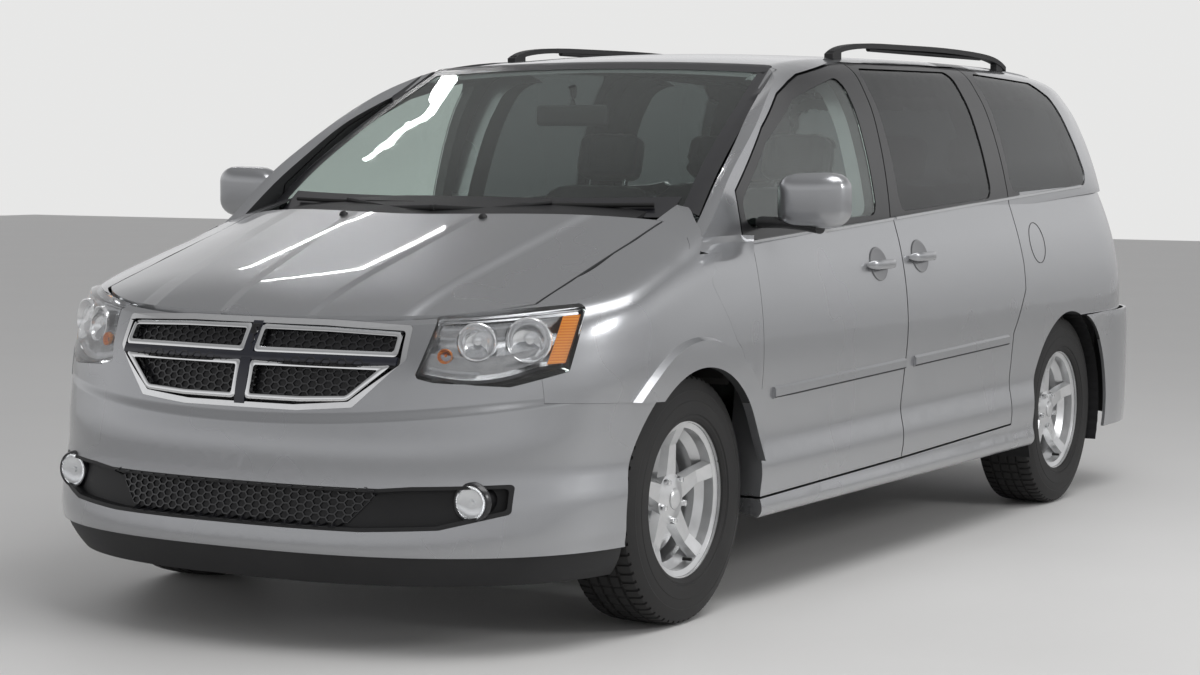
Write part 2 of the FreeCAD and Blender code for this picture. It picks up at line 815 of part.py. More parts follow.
pane_skin = slab(upper_flank(mm.glass_inset), upper_flank(mm.glass_inset + mm.glass_thickness))
front_glass = pane_skin.common(side_prism(grown(front_glass_outline, -mm.seat_gap), inner, wide))
sliding_glass = pane_skin.common(side_prism(grown(sliding_glass_outline, -mm.seat_gap), inner, wide))
quarter_glass = pane_skin.common(side_prism(grown(quarter_glass_outline, -mm.seat_gap), inner, wide))

fender_region = side_prism([
    (behind(-0.2), 0, 0), (behind(-0.2), belt_height(behind(0)), 0), (behind(0.03), up(0.622), 0),
    (behind(0.1365), up(0.6268), 0), (behind(0.1300), up(0.3500), 0), (behind(0.1260), up(0.19), 0), (behind(0.126), 0, 0),
], 0, wide)
bumper_top_share = 0.424
rear_bumper_region = side_prism([
    (rear_axle_x, 0, 0), (rear_axle_x, up(bumper_top_share), 0), (tail_x * 1.1, up(bumper_top_share), 0), (tail_x * 1.1, 0, 0),
], -wide, wide)
rear_arch = arch_cylinder(rear_axle_x, mm.arch_radius, mm.side_half_width * 0.7, wide)
tail_lamp_shares = ((-1.06, 0.671), (-1.06, 0.498), (-0.80, 0.498), (-0.74, 0.53), (-0.66, 0.671))


def tail_lamp_prism(grow):
    corners = [
        (rear_axle_x + mm.rear_overhang * along, up(height), corner_radius) for along, height in tail_lamp_shares
    ]
    return side_prism(grown(corners, grow) if grow else corners, inner, wide)


front_door_hole = side_prism(grown(front_door_outline, half_gap), inner, wide)
sliding_door_hole = side_prism(grown(sliding_door_outline, half_gap), inner, wide)
body_side = wall
for cutter in (
    front_door_hole, sliding_door_hole, ahead_of_glass, side_prism(quarter_glass_outline, inner, wide),
    fender_region, rear_bumper_region, rear_arch, tail_lamp_prism(0),
):
    body_side = body_side.cut(cutter)
for cutter in (sliding_door_hole, rear_bumper_region, rear_arch):
    sill_flare = sill_flare.cut(cutter)

# Roof: crowned, from the windshield header to the liftgate.


def roof_grid(drop, grow=0):
    rows = []
    straight = steps(header_x, tail_at(up(0.98)) + mm.rear_overhang * tail_corner_share, 12)
    corner = steps(straight[-1], blend(straight[-1], tail_at(up(0.98)), tail_end_share), 6)
    for x in straight + corner[1:]:
        edge = ditch_y * plan_factor(x, roof_edge_height(x)) - mm.seam_gap + grow
        edge_z = roof_edge_height(x)
        line = []
        for share in steps(-1, 1, 15):
            line.append(Vector(x, edge * share, edge_z + mm.roof_crown * (1 - share * share) - drop))
        rows.append(line)
    return rows


roof = slab(roof_grid(0), roof_grid(mm.roof_thickness))
roof_seat = slab(roof_grid(-mm.roof_crown, mm.seam_gap), roof_grid(mm.roof_thickness + mm.seam_gap, mm.seam_gap))
roof_room = slab(roof_grid(-mm.roof_crown, mm.panel_gap), roof_grid(mm.roof_thickness + mm.panel_gap, mm.panel_gap))

# Liftgate: the tail face and its glass, with a small spoiler lip at the top.
gate_low_share = 0.434
gate_high_share = 0.905
gate_edge_share = 0.992


def cabin_width(x, z):
    belt = belt_height(x)
    above = (z - belt) / (roof_edge_height(x) - belt)
    if above <= 0:
        return side_width(z) * (belt_half_width / side_width(belt))
    return belt_half_width * table_value(cabin_side_shares, above)


def tail_row(z, first):
    """From the left gap to the right one round the tail at one height."""
    tail = tail_at(z)
    corner = tail + mm.rear_overhang * tail_corner_share
    width = cabin_width(corner, z) * plan_factor(corner, z)
    edge = (1 - tail_end_share ** tail_power) ** (1 / tail_power) * first
    points = []
    for share in steps(-edge, edge, 21):
        reach = (1 - abs(share) ** tail_power) ** (1 / tail_power)
        points.append(Vector(blend(corner, tail, reach), width * share, z))
    return points


def tail_grid(depth, spread=0):
    """Rows up the tail face, then forward over the spoiler lip to the roof's rear edge.
    Spread widens the outline, for the opening that the gate sits in."""
    low, high = up(gate_low_share) - spread, up(gate_high_share)
    edge_share = gate_edge_share + spread / mm.side_half_width
    grid = [tail_row(z, edge_share) for z in steps(low, high, 15)]
    face_top = grid[-1]
    roof_end = blend(tail_at(up(0.98)) + mm.rear_overhang * tail_corner_share, tail_at(up(0.98)), tail_end_share)
    roof_end += spread - mm.panel_gap
    edge_z = roof_edge_height(roof_end)
    edge_y = ditch_y * plan_factor(roof_end, edge_z) - mm.panel_gap * 0.5 + spread
    for share in steps(0, 1, 7)[1:]:
        line = []
        for first in face_top:
            across = first.y / abs(face_top[0].y)
            last = Vector(roof_end, edge_y * across, edge_z + mm.roof_crown * (1 - across * across))
            knee = Vector(blend(first.x, last.x, 0.12), blend(first.y, last.y, 0.45), last.z)
            line.append((first + (knee - first) * share) * (1 - share) + (knee + (last - knee) * share) * share)
        grid.append(line)
    return inward(grid, depth, middle) if depth else grid


gate_front_x = blend(tail_at(up(0.98)) + mm.rear_overhang * tail_corner_share, tail_at(up(0.98)), tail_end_share)
gate_front_x -= mm.panel_gap * 1.5
gate = slab(tail_grid(0), tail_grid(mm.gate_thickness)).cut(block((gate_front_x, -far, 0), (far, far, far)))
gate_room = slab(tail_grid(-mm.panel_gap, mm.panel_gap), tail_grid(mm.gate_thickness + mm.panel_gap, mm.panel_gap))
gate_glass_shares = ((-0.66, 0.705), (-0.60, 0.895), (0.60, 0.895), (0.66, 0.705))


def gate_glass_prism(grow):
    corners = [(mm.side_half_width * across, up(height), glass_radius) for across, height in gate_glass_shares]
    return front_prism(grown(corners, grow) if grow else corners, tail_x * 1.1, tail_x * 0.7)


gate_pane = slab(tail_grid(mm.glass_inset), tail_grid(mm.glass_inset + mm.glass_thickness))
gate_glass = gate_pane.common(gate_glass_prism(-mm.seat_gap))
gate = gate.cut(gate_glass_prism(0))
tail_lamp = wall.common(tail_lamp_prism(-mm.seam_gap)).cut(rear_bumper_region).cut(gate_room)

# Rear bumper: wraps from arch to arch, proud of the tail.
bumper_proud = mm.rear_overhang * 0.046
rear_bumper_shares = ((0.155, 0.60), (0.20, 0.86), (0.30, 1.0), (0.40, 1.0), (0.424, 0.80))


def bumper_row(z, proud):
    corner = rear_axle_x - mm.rear_overhang * (1 - tail_corner_share)
    tail = tail_x - bumper_proud * (proud - 1)
    width = mm.side_half_width + bumper_proud * 0.3 * (proud - 0.6)
    quarter = []
    for angle in steps(0, math.pi / 2, 19):
        x = corner + (tail - corner) * math.cos(angle) ** (2 / tail_power)
        quarter.append(Vector(x, width * math.sin(angle) ** (2 / tail_power), z))
    quarter.append(Vector(rear_axle_x, width, z))
    return [Vector(point.x, -point.y, z) for point in reversed(quarter[1:])] + quarter


def bumper_grid(depth):
    levels = steps(rear_bumper_shares[0][0], rear_bumper_shares[-1][0], 8)
    grid = [bumper_row(up(level), table_value(rear_bumper_shares, level)) for level in levels]
    return inward(grid, depth, middle) if depth else grid


rear_bumper = slab(bumper_grid(0), bumper_grid(mm.fascia_wall))
rear_bumper = rear_bumper.cut(rear_arch).cut(mirrored(rear_arch))


glass_room = slab(
    windshield_grid(0.0, 1.0, mm.side_half_width * 0.9, -mm.pillar_bulge),
    windshield_grid(0.0, 1.0, mm.side_half_width * 0.9, mm.glass_thickness + mm.panel_gap),
).common(pane_plan(mm.panel_gap))
flange_room = slab(upper_flank(mm.door_flange), upper_flank(mm.frame_thickness * 1.3))
front_door = front_door.cut(roof_room).cut(glass_room)
rear_edge = [(x, z, 0) for x, z, radius in front_door_outline if x < behind(0.48)]
rear_edge.sort(key=lambda corner: corner[1])
flange_strip = rear_edge + [(x + mm.flange_width, z, 0) for x, z, radius in reversed(rear_edge)]
front_door = front_door.cut(flange_room.common(side_prism(flange_strip, inner, wide)))
sliding_door = largest(sliding_door.cut(roof_room))

# Inner structure of the flank: the pillars between the doors.
def moved_grid(grid, inward_step, drop):
    return [[point - Vector(0, inward_step, drop) for point in row] for row in grid]


inner_skin = slab(lower_flank(mm.door_thickness + mm.panel_gap), lower_flank(mm.door_thickness + mm.pillar_depth))
lining = upper_flank(mm.frame_thickness)
lining_gap = moved_grid(lining, mm.panel_gap, mm.panel_gap / 2)
lining_back = moved_grid(lining, mm.pillar_depth, mm.pillar_depth / 2)
inner_skin = inner_skin.fuse(slab(lining_gap, lining_back))
half_pillar = mm.pillar_width / 2
floor_top = mm.floor_height
above_floor = floor_top + mm.seam_gap


def pillar(foot_share, waist_share, head_share):
    foot, waist, head = behind(foot_share), behind(waist_share), behind(head_share)
    return inner_skin.common(side_prism([
        (foot - half_pillar, above_floor, 0), (waist - half_pillar, up(0.665), 0), (head - half_pillar, up(1), 0),
        (head + half_pillar, up(1), 0), (waist + half_pillar, up(0.665), 0), (foot + half_pillar, above_floor, 0),
    ], 0, wide))


def pillar_base(share):
    """The foot that ties a pillar to the sill under the doors."""
    foot = behind(share)
    depth = slab(lower_flank(mm.door_thickness * 0.8), lower_flank(mm.door_thickness + mm.pillar_depth))
    return depth.common(side_prism([
        (foot - half_pillar, above_floor, 0), (foot + half_pillar, above_floor, 0),
        (foot + half_pillar, up(0.195), 0), (foot - half_pillar, up(0.195), 0),
    ], 0, wide))


inner_frame = pillar(0.4691, 0.4899, 0.5084).fuse(pillar(0.7956, 0.8447, 0.8317))
door_room = slab(
    lower_flank(0, -mm.panel_gap), lower_flank(mm.door_thickness + mm.panel_gap, -mm.panel_gap),
)
inner_frame = inner_frame.cut(door_room).fuse(pillar_base(0.4691)).fuse(pillar_base(0.7956))
glass_seat = slab(
    windshield_grid(0.0, 1.0, mm.side_half_width * 0.9, -mm.pillar_bulge),
    windshield_grid(0.0, 1.0, mm.side_half_width * 0.9, mm.glass_thickness + mm.seat_gap),
).common(pane_plan(mm.seat_gap))
body_side = body_side.fuse(inner_frame).cut(roof_seat).cut(gate_room).cut(glass_seat)
body_side = largest(body_side)

# The fender ends at the door's gap, under the pillar's foot and in front of the windshield.
fender = fender.cut(fender_flare)
behind_pane = slab(
    windshield_grid(-0.35, 1.08, mm.side_half_width * 1.05, -mm.seam_gap),
    windshield_grid(-0.35, 1.08, mm.side_half_width * 1.05, mm.roof_height * 0.5),
)
pillar_foot = slab(
    windshield_grid(-0.35, 1.08, mm.side_half_width * 1.05, -mm.seam_gap * 2, True),
    windshield_grid(-0.35, 1.08, mm.side_half_width * 1.05, mm.roof_height * 0.5, True),
)
above_fender = side_prism([
    (behind(0.03), up(0.622) - mm.seam_gap, 0), (behind(0.17), up(0.6282) - mm.seam_gap, 0), (behind(0.17), up(0.9), 0),
    (behind(0.03), up(0.9), 0),
], 0, wide).common(pillar_foot)
ahead_of_sill = block((-far, 0, 0), (behind(0.126) + mm.seam_gap, far, up(0.20)))
for cutter in (front_door_hole, behind_pane, above_fender, ahead_of_sill):
    fender = fender.cut(cutter)
for cutter in (front_door_hole, ahead_of_sill):
    fender_flare = fender_flare.cut(cutter)
fender = Part.makeCompound([largest(fender), fender_flare])


# Wheels and tyres, each in its own frame: the axle along Y, the vehicle's inner side at Y zero.
class Size:
    """A sheet size that keeps its value and its expression together through plain sums."""

    def __init__(self, value, text):
        self.value = value
        self.text = text

    def __add__(self, other):
        return Size(self.value + other.value, "(%s + %s)" % (self.text, other.text))

    def __sub__(self, other):
        return Size(self.value - other.value, "(%s - %s)" % (self.text, other.text))

    def __mul__(self, share):
        return Size(self.value * share, "(%s * %s)" % (self.text, share))


size = SimpleNamespace(**{alias: Size(getattr(mm, alias), "Sizes." + alias) for alias, value in SIZES})
none = Size(0.0, "0 mm")


def profile(body, name, plane, corners):
    """A closed sketch whose corners are tied to the sheet."""
    sketch = body.newObject("Sketcher::SketchObject", name)
    support = [face for face in body.Origin.OriginFeatures if face.Role == plane][0]
    sketch.AttachmentSupport = [(support, "")]
    sketch.MapMode = "FlatFace"
    count = len(corners)
    places = [Vector(across.value, along.value, 0) for across, along in corners]
    for index in range(count):
        sketch.addGeometry(Part.LineSegment(places[index], places[(index + 1) % count]), False)
    for index in range(count):
        sketch.addConstraint(Sketcher.Constraint("Coincident", index, 2, (index + 1) % count, 1))
    for index, corner in enumerate(corners):
        for kind, distance in zip(("DistanceX", "DistanceY"), corner):
            number = sketch.addConstraint(Sketcher.Constraint(kind, -1, 1, index, 1, distance.value))
            sketch.setExpression("Constraints[%d]" % number, distance.text)
    return sketch


def revolved(name, corners):
    body = doc.addObject("PartDesign::Body", name)
    body.Label = name
    sketch = profile(body, name + "_profile", "XY_Plane", corners)
    turned = body.newObject("PartDesign::Revolution", name + "_turned")
    turned.Profile = sketch
    turned.ReferenceAxis = (sketch, ["V_Axis"])
    turned.Angle = 360
    sketch.Visibility = False
    return body


tyre_shares = (
    (0.000, 0.120), (0.030, 0.050), (0.230, 0.018), (0.520, 0.000), (0.780, 0.030), (0.920, 0.090),
    (0.975, 0.250), (1.000, 0.500),
)


def tyre_corners():
    side = [
        (size.rim_radius + size.seam_gap + (size.tyre_radius - size.rim_radius - size.seam_gap) * high, size.tyre_width * wide_share)
        for high, wide_share in tyre_shares
    ]
    far_side = [(high, size.tyre_width - across) for high, across in reversed(side[:-1])]
    bead = size.rim_seat_radius + size.seat_gap
    first = size.tyre_width * 0.150
    return side + far_side + [(bead, size.tyre_width - first), (bead, first)]


rim_shares = (
    (1.000, 0.000), (1.000, 0.045), (0.930, 0.075), (0.930, 0.230), (0.845, 0.290), (0.845, 0.640),
    (0.930, 0.760), (0.930, 0.925), (1.000, 0.955), (1.000, 1.000),
)


def wheel_corners():
    """Barrel, dished face and hub with the brake disc behind it, as one turned outline."""
    start = (size.tyre_width - size.rim_width) * 0.5
    outside = [(size.rim_radius * high, start + size.rim_width * across) for high, across in rim_shares]
    inside = [(high - size.rim_wall, across) for high, across in reversed(outside)]
    return outside + inside


def hub_corners():
    centre = size.tyre_width * 0.5
    face = centre + size.hub_face_offset
    disc_inner = face - size.hub_thickness - size.disc_thickness
    return [
        (none, face + size.hub_thickness), (size.cap_radius, face + size.hub_thickness),
        (size.hub_face_radius, face + size.hub_thickness * 0.6), (size.hub_face_radius, face - size.hub_thickness),
        (size.disc_radius, face - size.hub_thickness), (size.disc_radius, disc_inner), (none, disc_inner),
    ]


def place_wheel(body, axle_x, side):
    turn = Rotation(Vector(0, 0, 1), 0 if side > 0 else 180)
    inner_side = mm.track / 2 - mm.tyre_width / 2
    body.Placement = Placement(Vector(axle_x, side * inner_side, mm.tyre_radius), turn)


corner_places = (
    ("front_left", front_axle_x, 1), ("front_right", front_axle_x, -1),
    ("rear_left", rear_axle_x, 1), ("rear_right", rear_axle_x, -1),
)


def spoke(angle):
    """One broad spoke, seen from outside, between the hub and the barrel."""
    centre = mm.tyre_width / 2
    face = centre + mm.hub_face_offset
    outer_y = mm.tyre_width / 2 + mm.rim_width / 2 - mm.rim_wall
    root = mm.hub_face_radius * 0.85
    tip = mm.rim_radius - mm.rim_wall * 1.5
    half_root = mm.spoke_root_width / 2
    half_tip = mm.spoke_tip_width / 2
    sections = []
    for reach, half, front in (
        (root, half_root, face + mm.hub_thickness * 0.62), (blend(root, tip, 0.6), half_tip * 0.85, face + mm.hub_thickness * 0.8),
        (tip, half_tip, outer_y),
    ):
        back = front - mm.spoke_thickness
        corners = [Vector(-half, back, reach), Vector(half, back, reach), Vector(half * 0.72, front, reach), Vector(-half * 0.72, front, reach)]
        sections.append(Part.makePolygon(corners + corners[:1]))
    blade = Part.makeLoft(sections, True, True)
    blade.rotate(Vector(0, 0, 0), Vector(0, 1, 0), angle)
    return blade


def wheel_shape():
    def turned(corners):
        points = [Vector(across.value, along.value, 0) for across, along in corners]
        face = Part.Face(Part.makePolygon(points + points[:1]))
        return face.revolve(Vector(0, 0, 0), Vector(0, 1, 0), 360)

    whole = turned(wheel_corners()).fuse(turned(hub_corners()))
    barrel_room = disc(Vector(0, 0, 0), mm.rim_radius * 0.93 - mm.seam_gap, Vector(0, 1, 0), mm.tyre_width)
    count = int(mm.spoke_count)
    for index in range(count):
        whole = whole.fuse(spoke(360 * index / count).common(barrel_room))
    return whole.removeSplitter()


wheel_solid = wheel_shape()
for name, axle_x, side in corner_places:
    tyre = revolved("tyre_" + name, tyre_corners())
    place_wheel(tyre, axle_x, side)
    wheel = doc.addObject("Part::Feature", "wheel_" + name)
    wheel.Label = "wheel_" + name
    wheel.Shape = wheel_solid
    place_wheel(wheel, axle_x, side)

# Front knuckles: bearing carrier, strut and ball stud, turning about an upright kingpin.
hub_inner_y = (
    mm.track / 2 + mm.hub_face_offset - mm.hub_thickness - mm.disc_thickness - mm.seat_gap
)
strut_top = up(0.575)
ball_top = up(0.132)


def knuckle():
    pin = Vector(front_axle_x, mm.kingpin_half_track, ball_top)
    post = disc(pin, mm.strut_radius, Vector(0, 0, 1), strut_top - ball_top)
    carrier_start = mm.kingpin_half_track - mm.strut_radius * 1.5
    carrier = disc(
        Vector(front_axle_x, carrier_start, mm.tyre_radius), mm.strut_radius * 1.6, Vector(0, 1, 0), hub_inner_y - carrier_start
    )
    return post.fuse(carrier)


knuckle_left = knuckle()

# Front subframe with its lower arms and steering rack, and the rear twist-beam axle with its stubs.
arm_depth = mm.axle_beam_radius * 0.8


def lower_arm():
    top = ball_top - mm.seat_gap
    low = top - arm_depth
    half = mm.strut_radius * 1.3
    inner_y = mm.kingpin_half_track * 0.5
    corners = [
        (front_axle_x + half, mm.kingpin_half_track + half, half * 0.9), (front_axle_x - half, mm.kingpin_half_track + half, half * 0.9),
        (front_axle_x - half * 6, inner_y, half * 0.3), (front_axle_x + half * 3, inner_y, half * 0.3),
    ]
    return top_prism(corners, low, top)


cradle_top = ball_top - mm.seat_gap
cradle = block(
    (front_axle_x - mm.track * 0.16, -mm.kingpin_half_track * 0.55, cradle_top - arm_depth),
    (front_axle_x + mm.track * 0.16, mm.kingpin_half_track * 0.55, cradle_top),
)
cradle = cradle.cut(block(
    (front_axle_x - mm.track * 0.09, -mm.kingpin_half_track * 0.38, 0), (front_axle_x + mm.track * 0.09, mm.kingpin_half_track * 0.38, far),
))
mount_y = mm.kingpin_half_track * 0.60
for end in (-1, 1):
    foot_x = front_axle_x + end * mm.track * 0.14
    foot = mm.axle_beam_radius
    cradle = cradle.fuse(block(
        (foot_x - foot, -mount_y - foot, cradle_top - arm_depth), (foot_x + foot, mount_y + foot, cradle_top),
    ))
    for side in (-1, 1):
        cradle = cradle.fuse(disc(
            Vector(foot_x, side * mount_y, cradle_top - arm_depth), foot * 0.8, Vector(0, 0, 1),
            floor_low - mm.seat_gap - cradle_top + arm_depth,
        ))
front_subframe = cradle.fuse(lower_arm()).fuse(mirrored(lower_arm()))

beam_x = rear_axle_x + mm.tyre_radius * 0.45
arm_y = mm.track / 2 - mm.tyre_width / 2 - mm.axle_beam_radius * 2.2
arm_front_x = rear_axle_x + mm.tyre_radius * 1.35


def trailing_arm():
    stub = disc(Vector(rear_axle_x, arm_y, mm.tyre_radius), mm.strut_radius * 1.5, Vector(0, 1, 0), hub_inner_y - arm_y)
    half = mm.axle_beam_radius
    seat = floor_low - mm.seat_gap
    arm = side_prism([
        (rear_axle_x - half, mm.tyre_radius + half, 0), (rear_axle_x + half * 1.4, mm.tyre_radius + half, 0),
        (rear_axle_x + mm.tyre_radius * 0.9, seat, 0), (arm_front_x, seat, 0), (arm_front_x, seat - half * 1.4, 0),
        (rear_axle_x + mm.tyre_radius * 0.7, seat - half * 1.4, 0), (rear_axle_x - half, mm.tyre_radius - half, 0),
    ], arm_y - half * 0.8, arm_y + half * 0.8)
    return arm.fuse(stub)


beam = disc(Vector(beam_x, -arm_y, floor_low - mm.axle_beam_radius - mm.seat_gap), mm.axle_beam_radius, Vector(0, 1, 0), 2 * arm_y)
rear_axle = beam.fuse(trailing_arm()).fuse(mirrored(trailing_arm()))

# Underbody: floor pan, firewall, wheelhouses and front rails.
pan_front = front_axle_x - mm.well_radius - mm.well_wall / 2
pan_half = mm.side_half_width * 0.93
pan_plan = [(pan_front, pan_half, 0), (rear_axle_x - mm.well_radius, pan_half, 0), (tail_x * 0.90, pan_half * 0.62, 0)]
pan_plan += [(x, -y, 0) for x, y, radius in reversed(pan_plan)]
pan = top_prism(pan_plan, floor_low, mm.floor_height)
firewall_half = mm.side_half_width * 0.76
toe_height = up(0.400) - mm.seat_gap
upper_wall_x = behind(0.130)
firewall = block(
    (pan_front - mm.floor_thickness, -firewall_half, floor_low), (pan_front, firewall_half, toe_height),
)
firewall = firewall.fuse(block(
    (pan_front - mm.floor_thickness, -firewall_half, toe_height - mm.floor_thickness),
    (upper_wall_x + mm.floor_thickness, firewall_half, toe_height),
))
firewall = firewall.fuse(block(
    (upper_wall_x, -firewall_half, toe_height - mm.floor_thickness),
    (upper_wall_x + mm.floor_thickness, firewall_half, up(0.635)),
))
hinge_post_x = behind(0.1180)
hinge_post = block(
    (hinge_post_x, mm.side_half_width * 0.74, toe_height - mm.floor_thickness * 0.5),
    (hinge_post_x + mm.floor_thickness, mm.side_half_width * 1.1, up(0.610)),
).cut(slab(fender_grid(-mm.flare_proud * 3), fender_grid(mm.fender_wall + mm.seat_gap)))
hinge_post = largest(hinge_post)


def wheelhouse(axle_x, inner_y, outer_y, radius):
    shell = arch_cylinder(axle_x, radius + mm.well_wall, inner_y - mm.well_wall, outer_y)
    lid = block((axle_x - far, -far, floor_low), (axle_x + far, far, far))
    return shell.common(lid)


front_house = wheelhouse(front_axle_x, mm.well_inner_y, mm.well_outer_y, mm.well_radius)
front_hole = arch_cylinder(front_axle_x, mm.well_radius, mm.well_inner_y, mm.side_half_width * 1.2)
rear_inner_y = mm.track / 2 - mm.tyre_width / 2 - mm.axle_beam_radius * 3.5
rear_house = wheelhouse(rear_axle_x, rear_inner_y, mm.side_half_width * 0.90, mm.arch_radius)
rear_hole = arch_cylinder(rear_axle_x, mm.arch_radius, rear_inner_y, mm.side_half_width * 1.2)
tower_half = mm.strut_radius * 2.6
tower = block(
    (front_axle_x - tower_half, mm.kingpin_half_track - tower_half, up(0.40)),
    (front_axle_x + tower_half, mm.kingpin_half_track + tower_half, strut_top + mm.seat_gap + mm.well_wall),
)
tower_hole = disc(
    Vector(front_axle_x, mm.kingpin_half_track, up(0.38)), mm.strut_radius * 2, Vector(0, 0, 1), strut_top + mm.seat_gap - up(0.38)
)
rail_half = mm.axle_beam_radius
front_rail = block(
    (pan_front - mm.floor_thickness, mm.well_inner_y - mm.well_wall - rail_half * 2.4, floor_low),
    (front_at(0.80), mm.well_inner_y - mm.well_wall - rail_half * 0.4, floor_low + rail_half * 3),
)
underbody = pan.fuse(firewall)
jack_half = mm.jack_pad / 2
jack_y = mm.side_half_width * 0.80
for pad_x in (front_axle_x - mm.well_radius * 1.4, rear_axle_x + mm.well_radius * 1.2):
    pad = block(
        (pad_x - jack_half, jack_y - jack_half, floor_low - mm.jack_drop), (pad_x + jack_half, jack_y + jack_half, mm.floor_height),
    )
    underbody = underbody.fuse(pad).fuse(mirrored(pad))
for piece in (front_house, rear_house, tower, front_rail, hinge_post):
    underbody = underbody.fuse(piece).fuse(mirrored(piece))
for hole in (front_hole, rear_hole, tower_hole):
    underbody = underbody.cut(hole).cut(mirrored(hole))
sill_seat = slab(lower_flank(-mm.flare_proud), lower_flank(mm.door_thickness + mm.seam_gap * 3))
hinge_zone = block((behind(0.125), 0, toe_height - mm.floor_thickness), (far, far, far))
wall_seat = slab(lower_flank(-mm.seat_gap), lower_flank(mm.door_thickness + mm.seat_gap))
underbody = underbody.cut(wall_seat).cut(mirrored(wall_seat))
underbody = underbody.cut(sill_seat.cut(hinge_zone)).cut(mirrored(sill_seat.cut(hinge_zone)))


# Engine: one plain block across the front, ahead of the firewall.
engine = doc.addObject("Part::Box", "engine")
engine.setExpression("Length", "Sizes.engine_length")
engine.setExpression("Width", "Sizes.engine_width")
engine.setExpression("Height", "Sizes.engine_height")
engine.Label = "engine"
engine_low = cradle_top + mm.seat_gap
engine.Placement = Placement(
    Vector(front_axle_x + mm.engine_offset, -mm.engine_width / 2, engine_low), Rotation(),
)

# Exhaust: a pipe under the floor to a silencer ahead of the rear bumper.
pipe_y = -mm.side_half_width * 0.22
pipe_z = floor_low - mm.axle_beam_radius * 2 - mm.pipe_radius - mm.seat_gap * 2
pipe = disc(Vector(tail_x * 0.80, pipe_y, pipe_z), mm.pipe_radius, Vector(1, 0, 0), pan_front * 0.7 - tail_x * 0.80)
silencer = block(
    (tail_x * 0.90, -mm.side_half_width * 0.45, floor_low - mm.silencer_depth - mm.seat_gap),
    (tail_x * 0.80, mm.side_half_width * 0.10, floor_low - mm.seat_gap),
)
silencer = silencer.makeFillet(mm.silencer_depth * 0.3, silencer.Edges)
exhaust = pipe.fuse(silencer)

# Grille: a bright surround with a dark cross, over a dark mesh plate.
grille_low, grille_high = up(0.375), up(0.535)
grille_slab = nose_slab(grille_low, grille_high, mm.grille_depth)
bar = mm.grille_bar
rim_wide = mm.grille_rim
frame_outline = front_outline(grille_shares, -mm.seat_gap, grille_radius)
frame_hole = front_outline(grille_shares, -rim_wide, grille_radius)
hood_room = slab(
    hood_grid(0.95, -0.35, mm.side_half_width * 0.85, -mm.panel_gap),
    hood_grid(0.95, -0.35, mm.side_half_width * 0.85, mm.hood_thickness + mm.panel_gap),
).common(hood_clearance)
grille_frame = grille_slab.common(frame_outline).cut(frame_hole).cut(above_hood).cut(hood_room)
cross_up = block((front_at(0.4), -bar, 0), (front_at(1.3), bar, far))
cross_side = block((front_at(0.4), -wide, up(0.461) - bar), (front_at(1.3), wide, up(0.461) + bar))
mesh_slab = nose_slab(grille_low, grille_high, mm.mesh_depth, mm.grille_depth - mm.mesh_depth)
inside_frame = front_outline(grille_shares, -rim_wide - mm.seam_gap, grille_radius)
cross_slab = nose_slab(grille_low, grille_high, mm.grille_depth, mm.seam_gap)
grille_insert = mesh_slab.fuse(cross_slab.common(cross_up.fuse(cross_side))).common(inside_frame).cut(above_hood).cut(hood_room)
grille_insert = grille_insert.cut(grille_frame)

# Lower intake: dark mesh with a fog lamp bezel at each end.
intake_slab = nose_slab(up(0.19), up(0.29), mm.mesh_depth, mm.grille_depth - mm.mesh_depth)
intake_deep = nose_slab(up(0.19), up(0.29), mm.grille_depth, mm.seam_gap)
intake_rim = intake_deep.common(front_outline(intake_shares, -mm.seat_gap, grille_radius))
intake_rim = intake_rim.cut(front_outline(intake_shares, -mm.seat_gap - mm.mesh_depth, grille_radius))
lower_grille = intake_slab.common(front_outline(intake_shares, -mm.seat_gap, grille_radius)).fuse(intake_rim)
fog_centre = (mm.side_half_width * 0.708, up(0.2484))
fog_lamp = disc(
    Vector(front_at(0.62), fog_centre[0], fog_centre[1]), mm.fog_radius, Vector(1, 0, 0), mm.front_overhang * 0.185,
)
lower_grille = lower_grille.fuse(fog_lamp).fuse(mirrored(fog_lamp))

# Cowl: the dark panel between hood and windshield that carries the wipers.
cowl_half = mm.side_half_width * 0.66
cowl_grid_top = [
    [Vector(x, y, hood_height(x, y) - mm.cowl_drop) for y in steps(-cowl_half, cowl_half, 13)]
    for x in steps(behind(0.17), behind(-0.02), 8)
]
cowl_grid_low = [[point - Vector(0, 0, mm.cowl_depth) for point in row] for row in cowl_grid_top]
cowl = slab(cowl_grid_top, cowl_grid_low).cut(hood_outline(mm.panel_gap, up(0.4), up(0.9)))
cowl = cowl.cut(behind_pane)

# Door mirrors, handles and roof rails.
mirror_x, mirror_y, mirror_z = behind(0.178), mm.side_half_width * 1.045, up(0.706)
shell_box = block(
    (mirror_x - mm.mirror_depth / 2, mirror_y - mm.mirror_width * 0.36, mirror_z - mm.mirror_height / 2),
    (mirror_x + mm.mirror_depth / 2, mirror_y + mm.mirror_width * 0.64, mirror_z + mm.mirror_height / 2),
)
shell_box = shell_box.makeFillet(mm.mirror_depth * 0.3, shell_box.Edges)
mirror_arm = block(
    (mirror_x - mm.mirror_depth * 0.3, mm.side_half_width * 0.88, up(0.655)),
    (mirror_x + mm.mirror_depth * 0.3, mirror_y, up(0.678)),
)
mirror = shell_box.fuse(mirror_arm).cut(upper_wall).cut(lower_wall)

rail_y = mm.side_half_width * 0.652
rail_front, rail_rear = behind(0.505), behind(1.03)
rail_length_places = steps(rail_front, rail_rear, 13)
rail_shares = ((0.0, 0.30), (0.10, 0.90), (0.40, 1.00), (0.75, 0.96), (0.93, 0.72), (1.0, 0.20))


